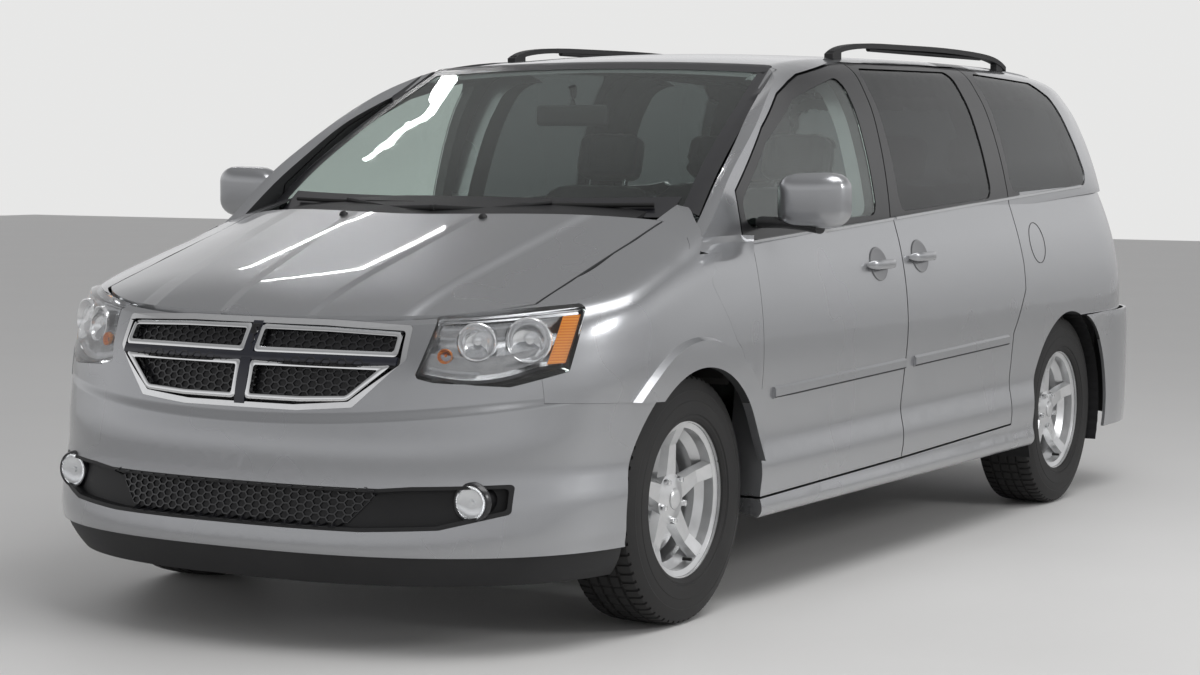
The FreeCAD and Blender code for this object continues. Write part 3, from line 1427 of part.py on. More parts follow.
def rail_grid(low):
    grid = []
    for x in rail_length_places:
        along = (rail_front - x) / (rail_front - rail_rear)
        base = roof_edge_height(x) + mm.seam_gap
        top = base + (mm.rail_top_height - mm.roof_height + mm.roof_crown * 0.6) * table_value(rail_shares, along)
        z = top - mm.rail_depth * 0.6 if low else top
        grid.append([Vector(x, rail_y + mm.rail_width * (share - 0.5), z) for share in (0, 0.5, 1)])
    return grid


roof_rail = slab(rail_grid(False), rail_grid(True))
for side_rail_foot in (0.52, 0.77, 1.01):
    foot_x = behind(side_rail_foot)
    roof_rail = roof_rail.fuse(block(
        (foot_x - mm.rail_width, rail_y - mm.rail_width * 0.4, roof_edge_height(foot_x) - mm.roof_crown * 0.5),
        (foot_x + mm.rail_width, rail_y + mm.rail_width * 0.4, roof_edge_height(foot_x) + mm.rail_depth * 0.8),
    ))
rail_bed = slab(upper_flank(-mm.seat_gap), upper_flank(mm.frame_thickness))
roof_rail = largest(roof_rail.cut(rail_bed).cut(roof_seat))

# Seats: cushion, back and head rest of each place, on the floor.


def seat(x, y, width):
    base = mm.floor_height + mm.seat_gap
    plinth = block((x - mm.seat_length * 0.35, y - width * 0.35, base), (x + mm.seat_length * 0.35, y + width * 0.35, base + mm.seat_height * 0.55))
    cushion = block((x - mm.seat_length / 2, y - width / 2, base + mm.seat_height * 0.55), (x + mm.seat_length / 2, y + width / 2, base + mm.seat_height))
    cushion = cushion.makeFillet(mm.seat_height * 0.12, cushion.Edges)
    back = block((x - mm.seat_length / 2 - mm.seat_back_depth, y - width / 2, base + mm.seat_height * 0.6), (x - mm.seat_length / 2 + mm.seat_height * 0.1, y + width / 2, base + mm.seat_height + mm.seat_back_height))
    back = back.makeFillet(mm.seat_back_depth * 0.3, back.Edges)
    back.rotate(Vector(x - mm.seat_length / 2, y, base + mm.seat_height * 0.6), Vector(0, 1, 0), -mm.seat_lean_angle)
    rest = block(
        (x - mm.seat_length / 2 - mm.seat_back_depth * 0.9, y - mm.rest_width / 2, base + mm.seat_height + mm.seat_back_height + mm.rest_gap),
        (x - mm.seat_length / 2 - mm.seat_back_depth * 0.1, y + mm.rest_width / 2, base + mm.seat_height + mm.seat_back_height + mm.rest_gap + mm.rest_height),
    )
    rest = rest.makeFillet(mm.seat_back_depth * 0.25, rest.Edges)
    posts = block(
        (x - mm.seat_length / 2 - mm.seat_back_depth * 0.55, y - mm.rest_width * 0.3, base + mm.seat_height + mm.seat_back_height * 0.9),
        (x - mm.seat_length / 2 - mm.seat_back_depth * 0.45, y - mm.rest_width * 0.25, base + mm.seat_height + mm.seat_back_height + mm.rest_gap * 3),
    )
    other = posts.copy()
    other.translate(Vector(0, mm.rest_width * 0.55, 0))
    head = rest.fuse(posts).fuse(other)
    head.rotate(Vector(x - mm.seat_length / 2, y, base + mm.seat_height * 0.6), Vector(0, 1, 0), -mm.seat_lean_angle)
    return plinth.fuse(cushion).fuse(back).fuse(head)


front_seat = seat(behind(0.42), mm.side_half_width * 0.39, mm.seat_width)
second_seat = seat(behind(0.70), mm.side_half_width * 0.39, mm.seat_width)
third_width = (rear_inner_y - mm.well_wall * 2) * 2 / 3
third_seats = [seat(behind(0.97), third_width * place, third_width) for place in (0, 1, -1)]

# Dashboard and steering wheel.
dash_shares = (
    (0.133, 0.655), (0.165, 0.672), (0.235, 0.640), (0.255, 0.560), (0.215, 0.400), (0.133, 0.400),
)
dashboard = side_prism(outline(dash_shares, corner_radius), -mm.side_half_width * 0.74, mm.side_half_width * 0.74)
dash_front = firewall.BoundBox.XMin
wheel_hub = Vector(behind(0.285), mm.side_half_width * 0.39, up(0.60))
column_tilt = Vector(-math.cos(math.radians(mm.column_angle)), 0, math.sin(math.radians(mm.column_angle)))
steering_ring = Part.makeTorus(mm.steering_radius, mm.steering_rim_radius, wheel_hub, column_tilt)
steering_boss = disc(wheel_hub - column_tilt * mm.steering_rim_radius, mm.steering_radius * 0.3, column_tilt, mm.steering_rim_radius * 1.6)
steering_spoke = Part.makeCylinder(mm.steering_rim_radius * 0.8, 2 * mm.steering_radius, wheel_hub - Vector(0, mm.steering_radius, 0), Vector(0, 1, 0))
column = disc(wheel_hub - column_tilt * mm.column_length, mm.steering_rim_radius * 2, column_tilt, mm.column_length)
steering_wheel = steering_ring.fuse(steering_boss).fuse(steering_spoke).fuse(column.cut(dashboard))


# Rubber stops that the closed panels rest on, and the sill under the liftgate.
rear_sill = block(
    (tail_at(up(0.4)) + mm.gate_thickness * 1.3, -mm.side_half_width * 0.60, floor_low),
    (tail_at(up(0.4)) + mm.gate_thickness * 2.3, mm.side_half_width * 0.62, up(gate_low_share) - mm.panel_gap),
)
hood_stop_x = front_at(0.66)
hood_stop_y = mm.kingpin_half_track * 0.60
radiator_bar = block(
    (front_at(0.60), -mm.kingpin_half_track * 0.64, floor_low), (front_at(0.66), mm.kingpin_half_track * 0.64, up(0.44)),
)
hood_seat = slab(
    hood_grid(0.88, -0.35, mm.side_half_width * 0.85, -mm.hood_thickness),
    hood_grid(0.88, -0.35, mm.side_half_width * 0.85, mm.hood_thickness + mm.seat_gap),
)
hood_stop = disc(Vector(front_at(0.63), hood_stop_y, up(0.43)), mm.stop_radius, Vector(0, 0, 1), up(0.2)).cut(hood_seat)
hood_stop = largest(hood_stop.common(block((0, 0, 0), (far, far, hood_height(front_at(0.63), 0)))))
gate_stop = disc(
    Vector(tail_at(up(0.4)) + mm.gate_thickness * 1.7, mm.side_half_width * 0.5, up(gate_low_share) - mm.panel_gap * 2),
    mm.stop_radius * 0.6, Vector(0, 0, 1), mm.panel_gap * 2 - mm.seat_gap,
)
rear_floor = block(
    (tail_at(up(0.4)) + mm.gate_thickness * 1.3, -mm.side_half_width * 0.45, floor_low),
    (tail_x * 0.88, mm.side_half_width * 0.45, mm.floor_height),
)
crash_low, crash_high = up(0.300), up(0.352)
crash_beam = nose_slab(crash_low, crash_high, mm.engine_length * 0.1, mm.fascia_wall + mm.seat_gap)
crash_beam = crash_beam.common(block((0, -mm.side_half_width * 0.55, 0), (far, mm.side_half_width * 0.55, far)))
horn_y = mm.kingpin_half_track * 0.56
crash_horn = block((front_at(0.62), horn_y, crash_low), (front_at(0.88), horn_y * 1.15, crash_high))
underbody = underbody.fuse(rear_sill).fuse(rear_floor).fuse(radiator_bar).fuse(crash_beam)
underbody = underbody.fuse(crash_horn).fuse(mirrored(crash_horn))
for piece in (hood_stop, gate_stop):
    underbody = underbody.fuse(piece).fuse(mirrored(piece))
door_seat = slab(lower_flank(0), lower_flank(mm.door_thickness + mm.seat_gap))


def door_stop(x, z):
    inner_y = half_width(x, z) - mm.door_thickness - mm.pillar_depth
    return largest(disc(Vector(x, inner_y, z), mm.stop_radius, Vector(0, 1, 0), mm.pillar_depth * 1.3).cut(door_seat))


for height in (0.30, 0.55):
    body_side = body_side.fuse(door_stop(behind(0.4750) + half_pillar * 0.5, up(height)))
body_side = body_side.fuse(door_stop(behind(0.80) + half_pillar * 0.4, up(0.30)))

# Hand over every piece, right-hand ones as mirror images.
for label, shape in (
    ("underbody", underbody), ("front_subframe", front_subframe), ("rear_axle", rear_axle), ("exhaust", exhaust),
    ("hood", hood), ("front_bumper", fascia), ("chin", chin), ("grille_frame", grille_frame),
    ("grille_insert", grille_insert), ("lower_grille", lower_grille), ("headlamps", both(headlamp)),
    ("cowl", cowl), ("windshield", windshield), ("roof", roof), ("roof_rails", both(roof_rail)),
    ("fenders", both(fender)), ("sliding_doors", both(sliding_door)),
    ("side_glass", Part.makeCompound([both(sliding_glass), both(quarter_glass)])), ("tail_lamps", both(tail_lamp)),
    ("liftgate", gate), ("liftgate_glass", gate_glass), ("rear_bumper", rear_bumper),
    ("front_seats", both(front_seat)), ("rear_seats", Part.makeCompound([both(second_seat)] + third_seats)),
    ("dashboard", dashboard), ("steering_wheel", steering_wheel),
):
    add(label, shape)
for label, shape in (
    ("knuckle", knuckle_left), ("body_side", body_side), ("front_door", front_door),
    ("front_door_glass", front_glass), ("mirror", mirror),
):
    add(label + "_left", shape)
    add(label + "_right", mirrored(shape))

doc.recompute()
kinds = ("PartDesign::Body", "Part::Feature", "Part::Box")
pieces = [item for item in doc.Objects if item.TypeId in kinds]
for item in doc.Objects:
    if "Invalid" in item.State or "Error" in item.State:
        raise RuntimeError("%s did not build" % item.Label)
faulty = [piece.Label for piece in pieces if piece.Shape.isNull() or not piece.Shape.isValid()]
if faulty:
    raise RuntimeError("no valid shape: " + ", ".join(faulty))
os.makedirs("parts", exist_ok=True)
for piece in pieces:
    piece.Shape.exportStep(os.path.join("parts", piece.Label + ".step"))
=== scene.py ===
import math

import bmesh
import bpy
from mathutils import Matrix, Vector
from mathutils.bvhtree import BVHTree


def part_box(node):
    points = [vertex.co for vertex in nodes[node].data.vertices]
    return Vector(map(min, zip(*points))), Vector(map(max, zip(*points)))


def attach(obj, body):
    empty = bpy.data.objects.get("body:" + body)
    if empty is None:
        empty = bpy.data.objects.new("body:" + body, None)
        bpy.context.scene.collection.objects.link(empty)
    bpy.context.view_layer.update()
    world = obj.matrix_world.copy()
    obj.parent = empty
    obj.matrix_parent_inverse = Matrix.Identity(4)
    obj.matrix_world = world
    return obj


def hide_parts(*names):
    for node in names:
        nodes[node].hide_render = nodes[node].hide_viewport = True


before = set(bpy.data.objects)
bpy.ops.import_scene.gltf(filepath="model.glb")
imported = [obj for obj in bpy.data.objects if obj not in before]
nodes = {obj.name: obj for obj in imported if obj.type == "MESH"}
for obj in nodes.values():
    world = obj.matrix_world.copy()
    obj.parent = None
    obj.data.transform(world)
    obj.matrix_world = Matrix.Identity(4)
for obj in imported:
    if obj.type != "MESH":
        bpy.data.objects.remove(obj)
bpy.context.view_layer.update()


# Painted outer panels: pressed steel and moulded bumpers, all in one silver metallic paint.
# Fine flake lies in the colour coat under a glossy clear coat with a very faint orange peel.
# The door frames and middle pillars above the belt line are covered in satin black film.
class Signal:
    """A node's output, so that sums of outputs and numbers are written as expressions."""

    def __init__(self, finish, socket):
        self.finish = finish
        self.socket = socket

    def math(self, operation, first, second):
        return self.finish.math(operation, first, second)

    def __add__(self, other):
        return self.math("ADD", self, other)

    def __sub__(self, other):
        return self.math("SUBTRACT", self, other)

    def __rsub__(self, other):
        return self.math("SUBTRACT", other, self)

    def __mul__(self, other):
        return self.math("MULTIPLY", self, other)

    def __gt__(self, other):
        return self.math("GREATER_THAN", self, other)

    def __lt__(self, other):
        return self.math("LESS_THAN", self, other)

    __radd__ = __add__
    __rmul__ = __mul__


class Finish:
    """One material: a shader with its constants, and the nodes that vary it over the surface."""

    def __init__(self, name, **constants):
        self.material = bpy.data.materials.new(name)
        self.material.use_nodes = True
        self.tree = self.material.node_tree
        self.shader = self.tree.nodes["Principled BSDF"]
        for socket, value in constants.items():
            self.feed(self.shader.inputs[socket.replace("_", " ")], value)

    def feed(self, socket, value):
        if isinstance(value, Signal):
            self.tree.links.new(value.socket, socket)
        elif socket.type == "RGBA" and len(value) == 3:
            socket.default_value = (*value, 1)
        else:
            socket.default_value = value

    def node(self, kind, settings=None, sockets=None, output=0):
        """A node with its settings, the values or links of its sockets, and one of its outputs."""
        made = self.tree.nodes.new(kind)
        for setting, value in (settings or {}).items():
            setattr(made, setting, value)
        for socket, value in (sockets or {}).items():
            self.feed(made.inputs[socket], value)
        return Signal(self, made.outputs[output])

    def math(self, operation, first, second):
        return self.node("ShaderNodeMath", {"operation": operation}, {0: first, 1: second})

    def place(self, scale=(1, 1, 1)):
        """The place on the piece, stretched for streaks."""
        coordinates = self.node("ShaderNodeTexCoord", output="Object")
        return self.node("ShaderNodeMapping", None, {"Vector": coordinates, "Scale": scale})

    def axes(self, vector=None):
        """The x, y and z of a vector, or of the place on the piece."""
        parts = self.tree.nodes.new("ShaderNodeSeparateXYZ")
        self.feed(parts.inputs[0], vector or self.place())
        return [Signal(self, output) for output in parts.outputs]

    def edge(self, value, half_width):
        """1 where a value is below zero and 0 above it, eased over a band round zero."""
        band = {"Value": value, "From Min": -half_width, "From Max": half_width, "To Min": 1, "To Max": 0}
        return self.node("ShaderNodeMapRange", {"interpolation_type": "SMOOTHSTEP"}, band)

    def noise(self, scale, detail, where=None):
        """A soft random pattern, finer with a larger scale."""
        sockets = {"Vector": where or self.place(), "Scale": scale, "Detail": detail}
        return self.node("ShaderNodeTexNoise", None, sockets)

    def ribs(self, scale):
        """Fine level ribs, as moulded in a lens."""
        sockets = {"Vector": self.place(), "Scale": scale}
        return self.node("ShaderNodeTexWave", {"bands_direction": "Z"}, sockets)

    def mix(self, factor, first, second):
        return self.node("ShaderNodeMix", {"data_type": "RGBA"}, {0: factor, 6: first, 7: second}, 2)

    def vary(self, socket, value):
        self.feed(self.shader.inputs[socket], value)

    def clouded(self, cloud, dark, bright, rough, spread):
        """Lets one pattern carry both the colour and the roughness."""
        self.vary("Base Color", self.mix(cloud, dark, bright))
        self.vary("Roughness", rough + cloud * spread)

    def relief(self, height, strength, distance):
        """Fine grain from a height pattern."""
        sockets = {"Strength": strength, "Distance": distance, "Height": height}
        self.vary("Normal", self.node("ShaderNodeBump", None, sockets))


belt_height = 1.147
belt_slope = 0.0465
film_black = (0.006, 0.006, 0.007)
flake_dark, flake_bright = (0.310, 0.315, 0.328), (0.440, 0.447, 0.461)
cabin_trim, headliner = (0.022, 0.023, 0.024), (0.12, 0.122, 0.118)
turned_in, turned_down, lining_height = -0.35, -0.60, 0.62


def painted(name, film_reach=None, lining=cabin_trim):
    """Silver paint outside, dull lining inside, and black film above the belt line over a reach of x."""
    paint = Finish(name, Coat_Roughness=0.03, Coat_IOR=1.5)
    flake = paint.noise(1800, 1)
    haze = paint.noise(2.2, 2)
    along, across, height = paint.axes()
    film, inside = 0, 0
    if film_reach:
        rear, front = film_reach
        film = (height + along * belt_slope > belt_height) * (along > rear) * (along < front)
    if lining:
        sideways, upward = paint.axes(paint.node("ShaderNodeTexCoord", output="Normal"))[1:]
        underside = (upward < turned_down) * (height > lining_height)
        inside = paint.math("MAXIMUM", sideways * across < turned_in, underside)
    covered = paint.mix(film, paint.mix(flake, flake_dark, flake_bright), film_black)
    paint.vary("Base Color", paint.mix(inside, covered, lining or film_black))
    paint.vary("Roughness", 0.25 + haze * 0.06 + film * 0.08 + inside * 0.4)
    paint.vary("Metallic", (1 - inside) * (1 - film) * 0.82)
    paint.vary("Coat Weight", (1 - inside) * (1 - film * 0.6))
    paint.relief(paint.noise(240, 1), 0.010, 0.0004)
    return paint


def dress(finish, *names):
    """Gives solids of the frame a finish in place of their plain one."""
    for name in names:
        nodes[name].data.materials.clear()
        nodes[name].data.materials.append(finish.material)


silver = painted("silver_paint")
door_silver = painted("silver_paint_with_black_frames", (-9, 9))
side_silver = painted("silver_paint_with_black_pillar", (-1.105, -0.80))
roof_silver = painted("silver_paint_over_pale_headliner", lining=headliner)
trim_silver = painted("silver_paint_of_small_parts", lining=None)
hood_silver = painted("silver_paint_of_creased_hood")
crease_offset, crease_slope, crease_to_rise, crease_depth = 0.690, 0.100, 0.300, 0.022
along, across, height = hood_silver.axes()
from_crease = hood_silver.math("ABSOLUTE", across, 0) + along * crease_slope - crease_offset
centre_rise = hood_silver.edge(from_crease + crease_to_rise, 0.020)
hood_silver.relief(hood_silver.edge(from_crease, 0.035) + centre_rise * 0.4, 1.0, crease_depth)
bumper_silver = painted("silver_paint_of_shelved_bumper")
shelf_height, shelf_bow, shelf_depth = 0.632, 0.085, 0.014
along, across, height = bumper_silver.axes()
from_shelf = height - shelf_height - across * across * shelf_bow
bumper_silver.relief(bumper_silver.edge(from_shelf, 0.016), 0.6, shelf_depth)
dress(bumper_silver, "front_bumper")
dress(silver, "fenders", "liftgate", "rear_bumper")
dress(roof_silver, "roof")
dress(hood_silver, "hood")
dress(door_silver, "front_door_left", "front_door_right", "sliding_doors")
dress(side_silver, "body_side_left", "body_side_right")


# Underbody, front subframe and rear axle: steel pressings in satin black wax, dusty from the road.
# The engine block and the knuckles are rough grey castings, the exhaust a steel pipe gone slightly brown.
wax = Finish("black_underbody_wax", Metallic=0.1)
wax.clouded(wax.noise(9, 4), (0.020, 0.020, 0.021), (0.075, 0.070, 0.064), 0.45, 0.35)
wax.relief(wax.noise(70, 3), 0.25, 0.002)
dress(wax, "underbody", "front_subframe", "rear_axle")
casting = Finish("grey_casting", Metallic=0.7)
casting_grain = casting.noise(160, 4)
casting.clouded(casting_grain, (0.11, 0.108, 0.105), (0.26, 0.255, 0.25), 0.5, 0.3)
casting.relief(casting_grain, 0.3, 0.001)
dress(casting, "engine", "knuckle_left", "knuckle_right")
pipe = Finish("brushed_exhaust_steel", Metallic=1.0)
pipe_streak = pipe.noise(40, 3, pipe.place(scale=(0.1, 6, 6)))
pipe.clouded(pipe_streak, (0.30, 0.27, 0.24), (0.52, 0.50, 0.48), 0.28, 0.2)
dress(pipe, "exhaust")


# Tyres: black rubber rings moulded with four straight grooves, sipes across the ribs and cut
# shoulder blocks; raised rings run round the sidewalls. Each tyre grips the rim of its wheel.
def show(name, mesh, finish, body, angle=35):
    """Makes a finished bmesh a piece of the object that moves with a body."""
    bmesh.ops.remove_doubles(mesh, verts=mesh.verts, dist=1e-5)
    bmesh.ops.recalc_face_normals(mesh, faces=mesh.faces)
    for face in mesh.faces:
        face.smooth = True
    data = bpy.data.meshes.new(name)
    mesh.to_mesh(data)
    mesh.free()
    data.set_sharp_from_angle(angle=math.radians(angle))
    data.materials.append(finish.material)
    piece = bpy.data.objects.new(name, data)
    bpy.context.scene.collection.objects.link(piece)
    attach(piece, body)
    return piece


def turned(profile, centre, axis, steps):
    """A profile of (along the axis, radius) points spun about an axis through centre."""
    mesh = bmesh.new()
    axis = Vector(axis).normalized()
    side = axis.orthogonal().normalized()
    verts = [mesh.verts.new(Vector(centre) + axis * along + side * radius) for along, radius in profile]
    for first, second in zip(verts, verts[1:]):
        mesh.edges.new((first, second))
    bmesh.ops.spin(
        mesh, geom=mesh.verts[:] + mesh.edges[:], cent=centre, axis=axis, angle=math.tau, steps=steps,
        use_merge=True,
    )
    return mesh


rubber = Finish("tyre_rubber", Specular_IOR_Level=0.35)
rubber.clouded(rubber.noise(24, 4), (0.010, 0.010, 0.011), (0.028, 0.027, 0.026), 0.52, 0.22)
rubber.relief(rubber.noise(420, 3), 0.12, 0.0006)
groove_depth = 0.0075
groove_half_width = 0.0042
groove_places = (-0.052, -0.018, 0.018, 0.052)
groove_walls = ((-1.25, 0), (-0.8, groove_depth), (0.8, groove_depth), (1.25, 0))
rim_share, shoulder_share, tread_share = 0.615, 0.78, 0.955
sidewall_shares = (
    (0.78, 0.00), (0.90, 0.05), (0.955, 0.12), (0.955, 0.17), (0.985, 0.19), (1.00, 0.36), (1.00, 0.45),
    (0.988, 0.465), (0.986, 0.56), (0.965, 0.66), (0.972, 0.675), (0.955, 0.73), (0.915, 0.83),
    (0.875, 0.91), (0.835, 0.955),
)
tread_crown, shoulder_drop = 0.0035, 0.0042
outer_rib, rib_band = 0.058, 0.005
tread_steps, block_steps, sipe_steps = 216, 3, 4
wheel_names = ("front_left", "front_right", "rear_left", "rear_right")


def tyre_profile(radius, half):
    """The section from one bead over the grooved tread to the other, as (along the axle, radius)."""
    rim = radius * rim_share
    side = [(half * across, rim + (radius - rim) * up) for across, up in sidewall_shares]
    side.append((half * shoulder_share, radius - shoulder_drop))
    tread = []
    for place in groove_places:
        for across, drop in groove_walls:
            y = place + across * groove_half_width
            crown = tread_crown * (y / (half * 0.8)) ** 2
            tread.append((y, radius - crown - drop))
    left = [(-across, up) for across, up in side]
    return left + tread + list(reversed(side))


for wheel in wheel_names:
    low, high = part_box("tyre_" + wheel)
    centre, radius, half = (low + high) / 2, (high.z - low.z) / 2, (high.y - low.y) / 2
    tyre = turned(tyre_profile(radius, half), centre, (0, 1, 0), tread_steps)
    blocks, sipes = [], []
    for face in tyre.faces:
        middle = face.calc_center_median() - centre
        distance = math.hypot(middle.x, middle.z)
        step = int(math.atan2(middle.z, middle.x) / math.tau * tread_steps + tread_steps)
        if distance < radius * tread_share:
            continue
        if abs(middle.y) > outer_rib and step % block_steps == 0:
            blocks.append(face)
        elif abs(middle.y) < outer_rib and distance > radius - rib_band and step % sipe_steps == 1:
            sipes.append(face)
    bmesh.ops.recalc_face_normals(tyre, faces=tyre.faces)
    bmesh.ops.inset_region(tyre, faces=blocks, thickness=0.0012, depth=-0.005, use_even_offset=True)
    bmesh.ops.inset_region(tyre, faces=sipes, thickness=0.0028, depth=-0.004, use_even_offset=True)
    piece = show("tread_tyre_" + wheel, tyre, rubber, "wheel_" + wheel, 28)
    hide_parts("tyre_" + wheel)


# Wheels: cast aluminium with five broad spokes, clear lacquered. A blank cap closes the hub, five
# chromed nuts hold the wheel, and a black rubber valve stands in the rim. The steel brake disc turns behind.
alloy = Finish("lacquered_wheel_alloy", Metallic=0.75, Coat_Weight=0.6, Coat_Roughness=0.08)
alloy.clouded(alloy.noise(30, 3), (0.58, 0.585, 0.59), (0.72, 0.725, 0.73), 0.24, 0.12)
alloy.relief(alloy.noise(600, 2), 0.05, 0.0003)
dress(alloy, *("wheel_" + wheel for wheel in wheel_names))
chrome = Finish("bright_chrome", Metallic=1.0)
chrome.clouded(chrome.noise(60, 2), (0.80, 0.81, 0.82), (0.88, 0.885, 0.89), 0.05, 0.05)
disc_steel = Finish("machined_disc_steel", Metallic=1.0)
disc_steel.clouded(disc_steel.noise(90, 3), (0.24, 0.23, 0.22), (0.46, 0.45, 0.44), 0.3, 0.15)
black_rubber = Finish("black_moulded_rubber", Specular_IOR_Level=0.3)
black_rubber.clouded(black_rubber.noise(300, 2), (0.008, 0.008, 0.008), (0.020, 0.020, 0.020), 0.55, 0.2)
stud_circle, nut_count, nut_proud = 0.0635, 5, 0.006
disc_side, valve_side, valve_radius, valve_angle = 0.792, 0.880, 0.196, math.radians(250)
cap_profile = (
    (-0.004, 0.031), (0.004, 0.031), (0.0075, 0.027), (0.0095, 0.018), (0.0105, 0.006), (0.0106, 0),
)
disc_profile = (
    (0.004, 0.070), (0.004, 0.146), (0.002, 0.148), (-0.006, 0.148), (-0.008, 0.146), (-0.008, 0.070),
    (0.004, 0.070),
)
valve_profile = ((0, 0.0055), (0.016, 0.0045), (0.018, 0.0048), (0.028, 0.0048), (0.029, 0))


def skin_of(*names):
    """The surfaces of CAD nodes together, to lay trim on."""
    joined = bmesh.new()
    for name in names:
        joined.from_mesh(nodes[name].data)
    tree = BVHTree.FromBMesh(joined)
    joined.free()
    return tree


def struck(skin, start, direction, otherwise):
    """Where a ray meets a skin, or the place given otherwise."""
    place = skin.ray_cast(Vector(start), Vector(direction))[0]
    return place if place else Vector(otherwise)


def wheel_face(skin, centre, out, offset):
    """How far out the wheel's face stands at an offset from its axle."""
    start = Vector((centre.x, 0, centre.z)) + out * 1.3 + offset
    return struck(skin, start, -out, out * 0.86).y


for wheel in wheel_names:
    side = 1 if wheel.endswith("left") else -1
    low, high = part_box("tyre_" + wheel)
    centre, out = (low + high) / 2, Vector((0, side, 0))
    skin = skin_of("wheel_" + wheel)
    hub = Vector((centre.x, wheel_face(skin, centre, out, Vector((0.012, 0, 0))), centre.z))
    show("cap_" + wheel, turned(cap_profile, hub, out, 40), alloy, "wheel_" + wheel)
    nuts = bmesh.new()
    for index in range(nut_count):
        angle = math.tau * (index + 0.5) / nut_count + math.pi / 2
        offset = Vector((math.cos(angle), 0, math.sin(angle))) * stud_circle
        depth = wheel_face(skin, centre, out, offset) + side * nut_proud
        foot = Matrix.Translation((centre.x + offset.x, depth, centre.z + offset.z))
        bmesh.ops.create_cone(
            nuts, cap_ends=True, segments=6, radius1=0.0105, radius2=0.0095, depth=0.020,
            matrix=foot @ Matrix.Rotation(-side * math.pi / 2, 4, "X"),
        )
    bmesh.ops.bevel(
        nuts, geom=nuts.edges[:], offset=0.0012, segments=2, profile=0.5, affect="EDGES", material=-1,
    )
    show("wheel_nuts_" + wheel, nuts, chrome, "wheel_" + wheel)
    disc_at = Vector((centre.x, side * disc_side, centre.z))
    show("brake_disc_" + wheel, turned(disc_profile, disc_at, out, 96), disc_steel, "wheel_" + wheel)
    valve_at = centre + Vector((math.cos(valve_angle), 0, math.sin(valve_angle))) * valve_radius
    valve_at.y = side * valve_side
    show("valve_" + wheel, turned(valve_profile, valve_at, out, 12), black_rubber, "wheel_" + wheel)


# Glazing: laminated windshield and clear, slightly green front door panes; the sliding doors, quarters
# and liftgate have dark privacy glass. Smooth float glass held by black rubber seals.
def glazing(name, tint):
    """Glass of a tint, with a hardly visible film of dust."""
    glass = Finish(name, Transmission_Weight=1.0, IOR=1.42)
    glass.clouded(glass.noise(5, 2), tint, tuple(channel * 0.96 for channel in tint), 0, 0.004)
    return glass


clear_glass = glazing("green_tinted_glass", (0.84, 0.93, 0.885))
dark_glass = glazing("dark_privacy_glass", (0.10, 0.115, 0.115))
dress(clear_glass, "windshield", "front_door_glass_left", "front_door_glass_right")
dress(dark_glass, "side_glass", "liftgate_glass")


# Black moulded parts: the cowl, the chin under the bumper, the lower grille's frame and the backing of the
# grille are grained polypropylene, clipped in place; the roof rails are coated satin black. The dashboard
# and the steering wheel are grained dark grey trim.
plastic = Finish("black_grained_plastic", Specular_IOR_Level=0.4)
plastic_grain = plastic.noise(700, 2)
plastic.vary("Base Color", plastic.mix(plastic.noise(6, 3), (0.008, 0.008, 0.009), (0.019, 0.019, 0.020)))
plastic.vary("Roughness", 0.42 + plastic_grain * 0.22)
plastic.relief(plastic_grain, 0.18, 0.0004)
dress(plastic, "cowl", "chin", "lower_grille", "grille_insert", "roof_rails")
dress(chrome, "grille_frame")
interior = Finish("grey_interior_trim", Specular_IOR_Level=0.3)
interior_grain = interior.noise(520, 2)
interior.clouded(interior_grain, (0.020, 0.021, 0.023), (0.040, 0.041, 0.044), 0.55, 0.2)
interior.relief(interior_grain, 0.25, 0.0005)
dress(interior, "dashboard", "steering_wheel")


# Grille: a black moulded cross inside a bright surround, with bright frames round four openings.
# Each opening is filled by a black hexagonal mesh set back behind its frame.
def turning(corners):
    """1 where a polygon's corners run anticlockwise, otherwise -1."""
    twice_area = sum(a[0] * b[1] - b[0] * a[1] for a, b in zip(corners, corners[1:] + corners[:1]))
    return 1 if twice_area > 0 else -1


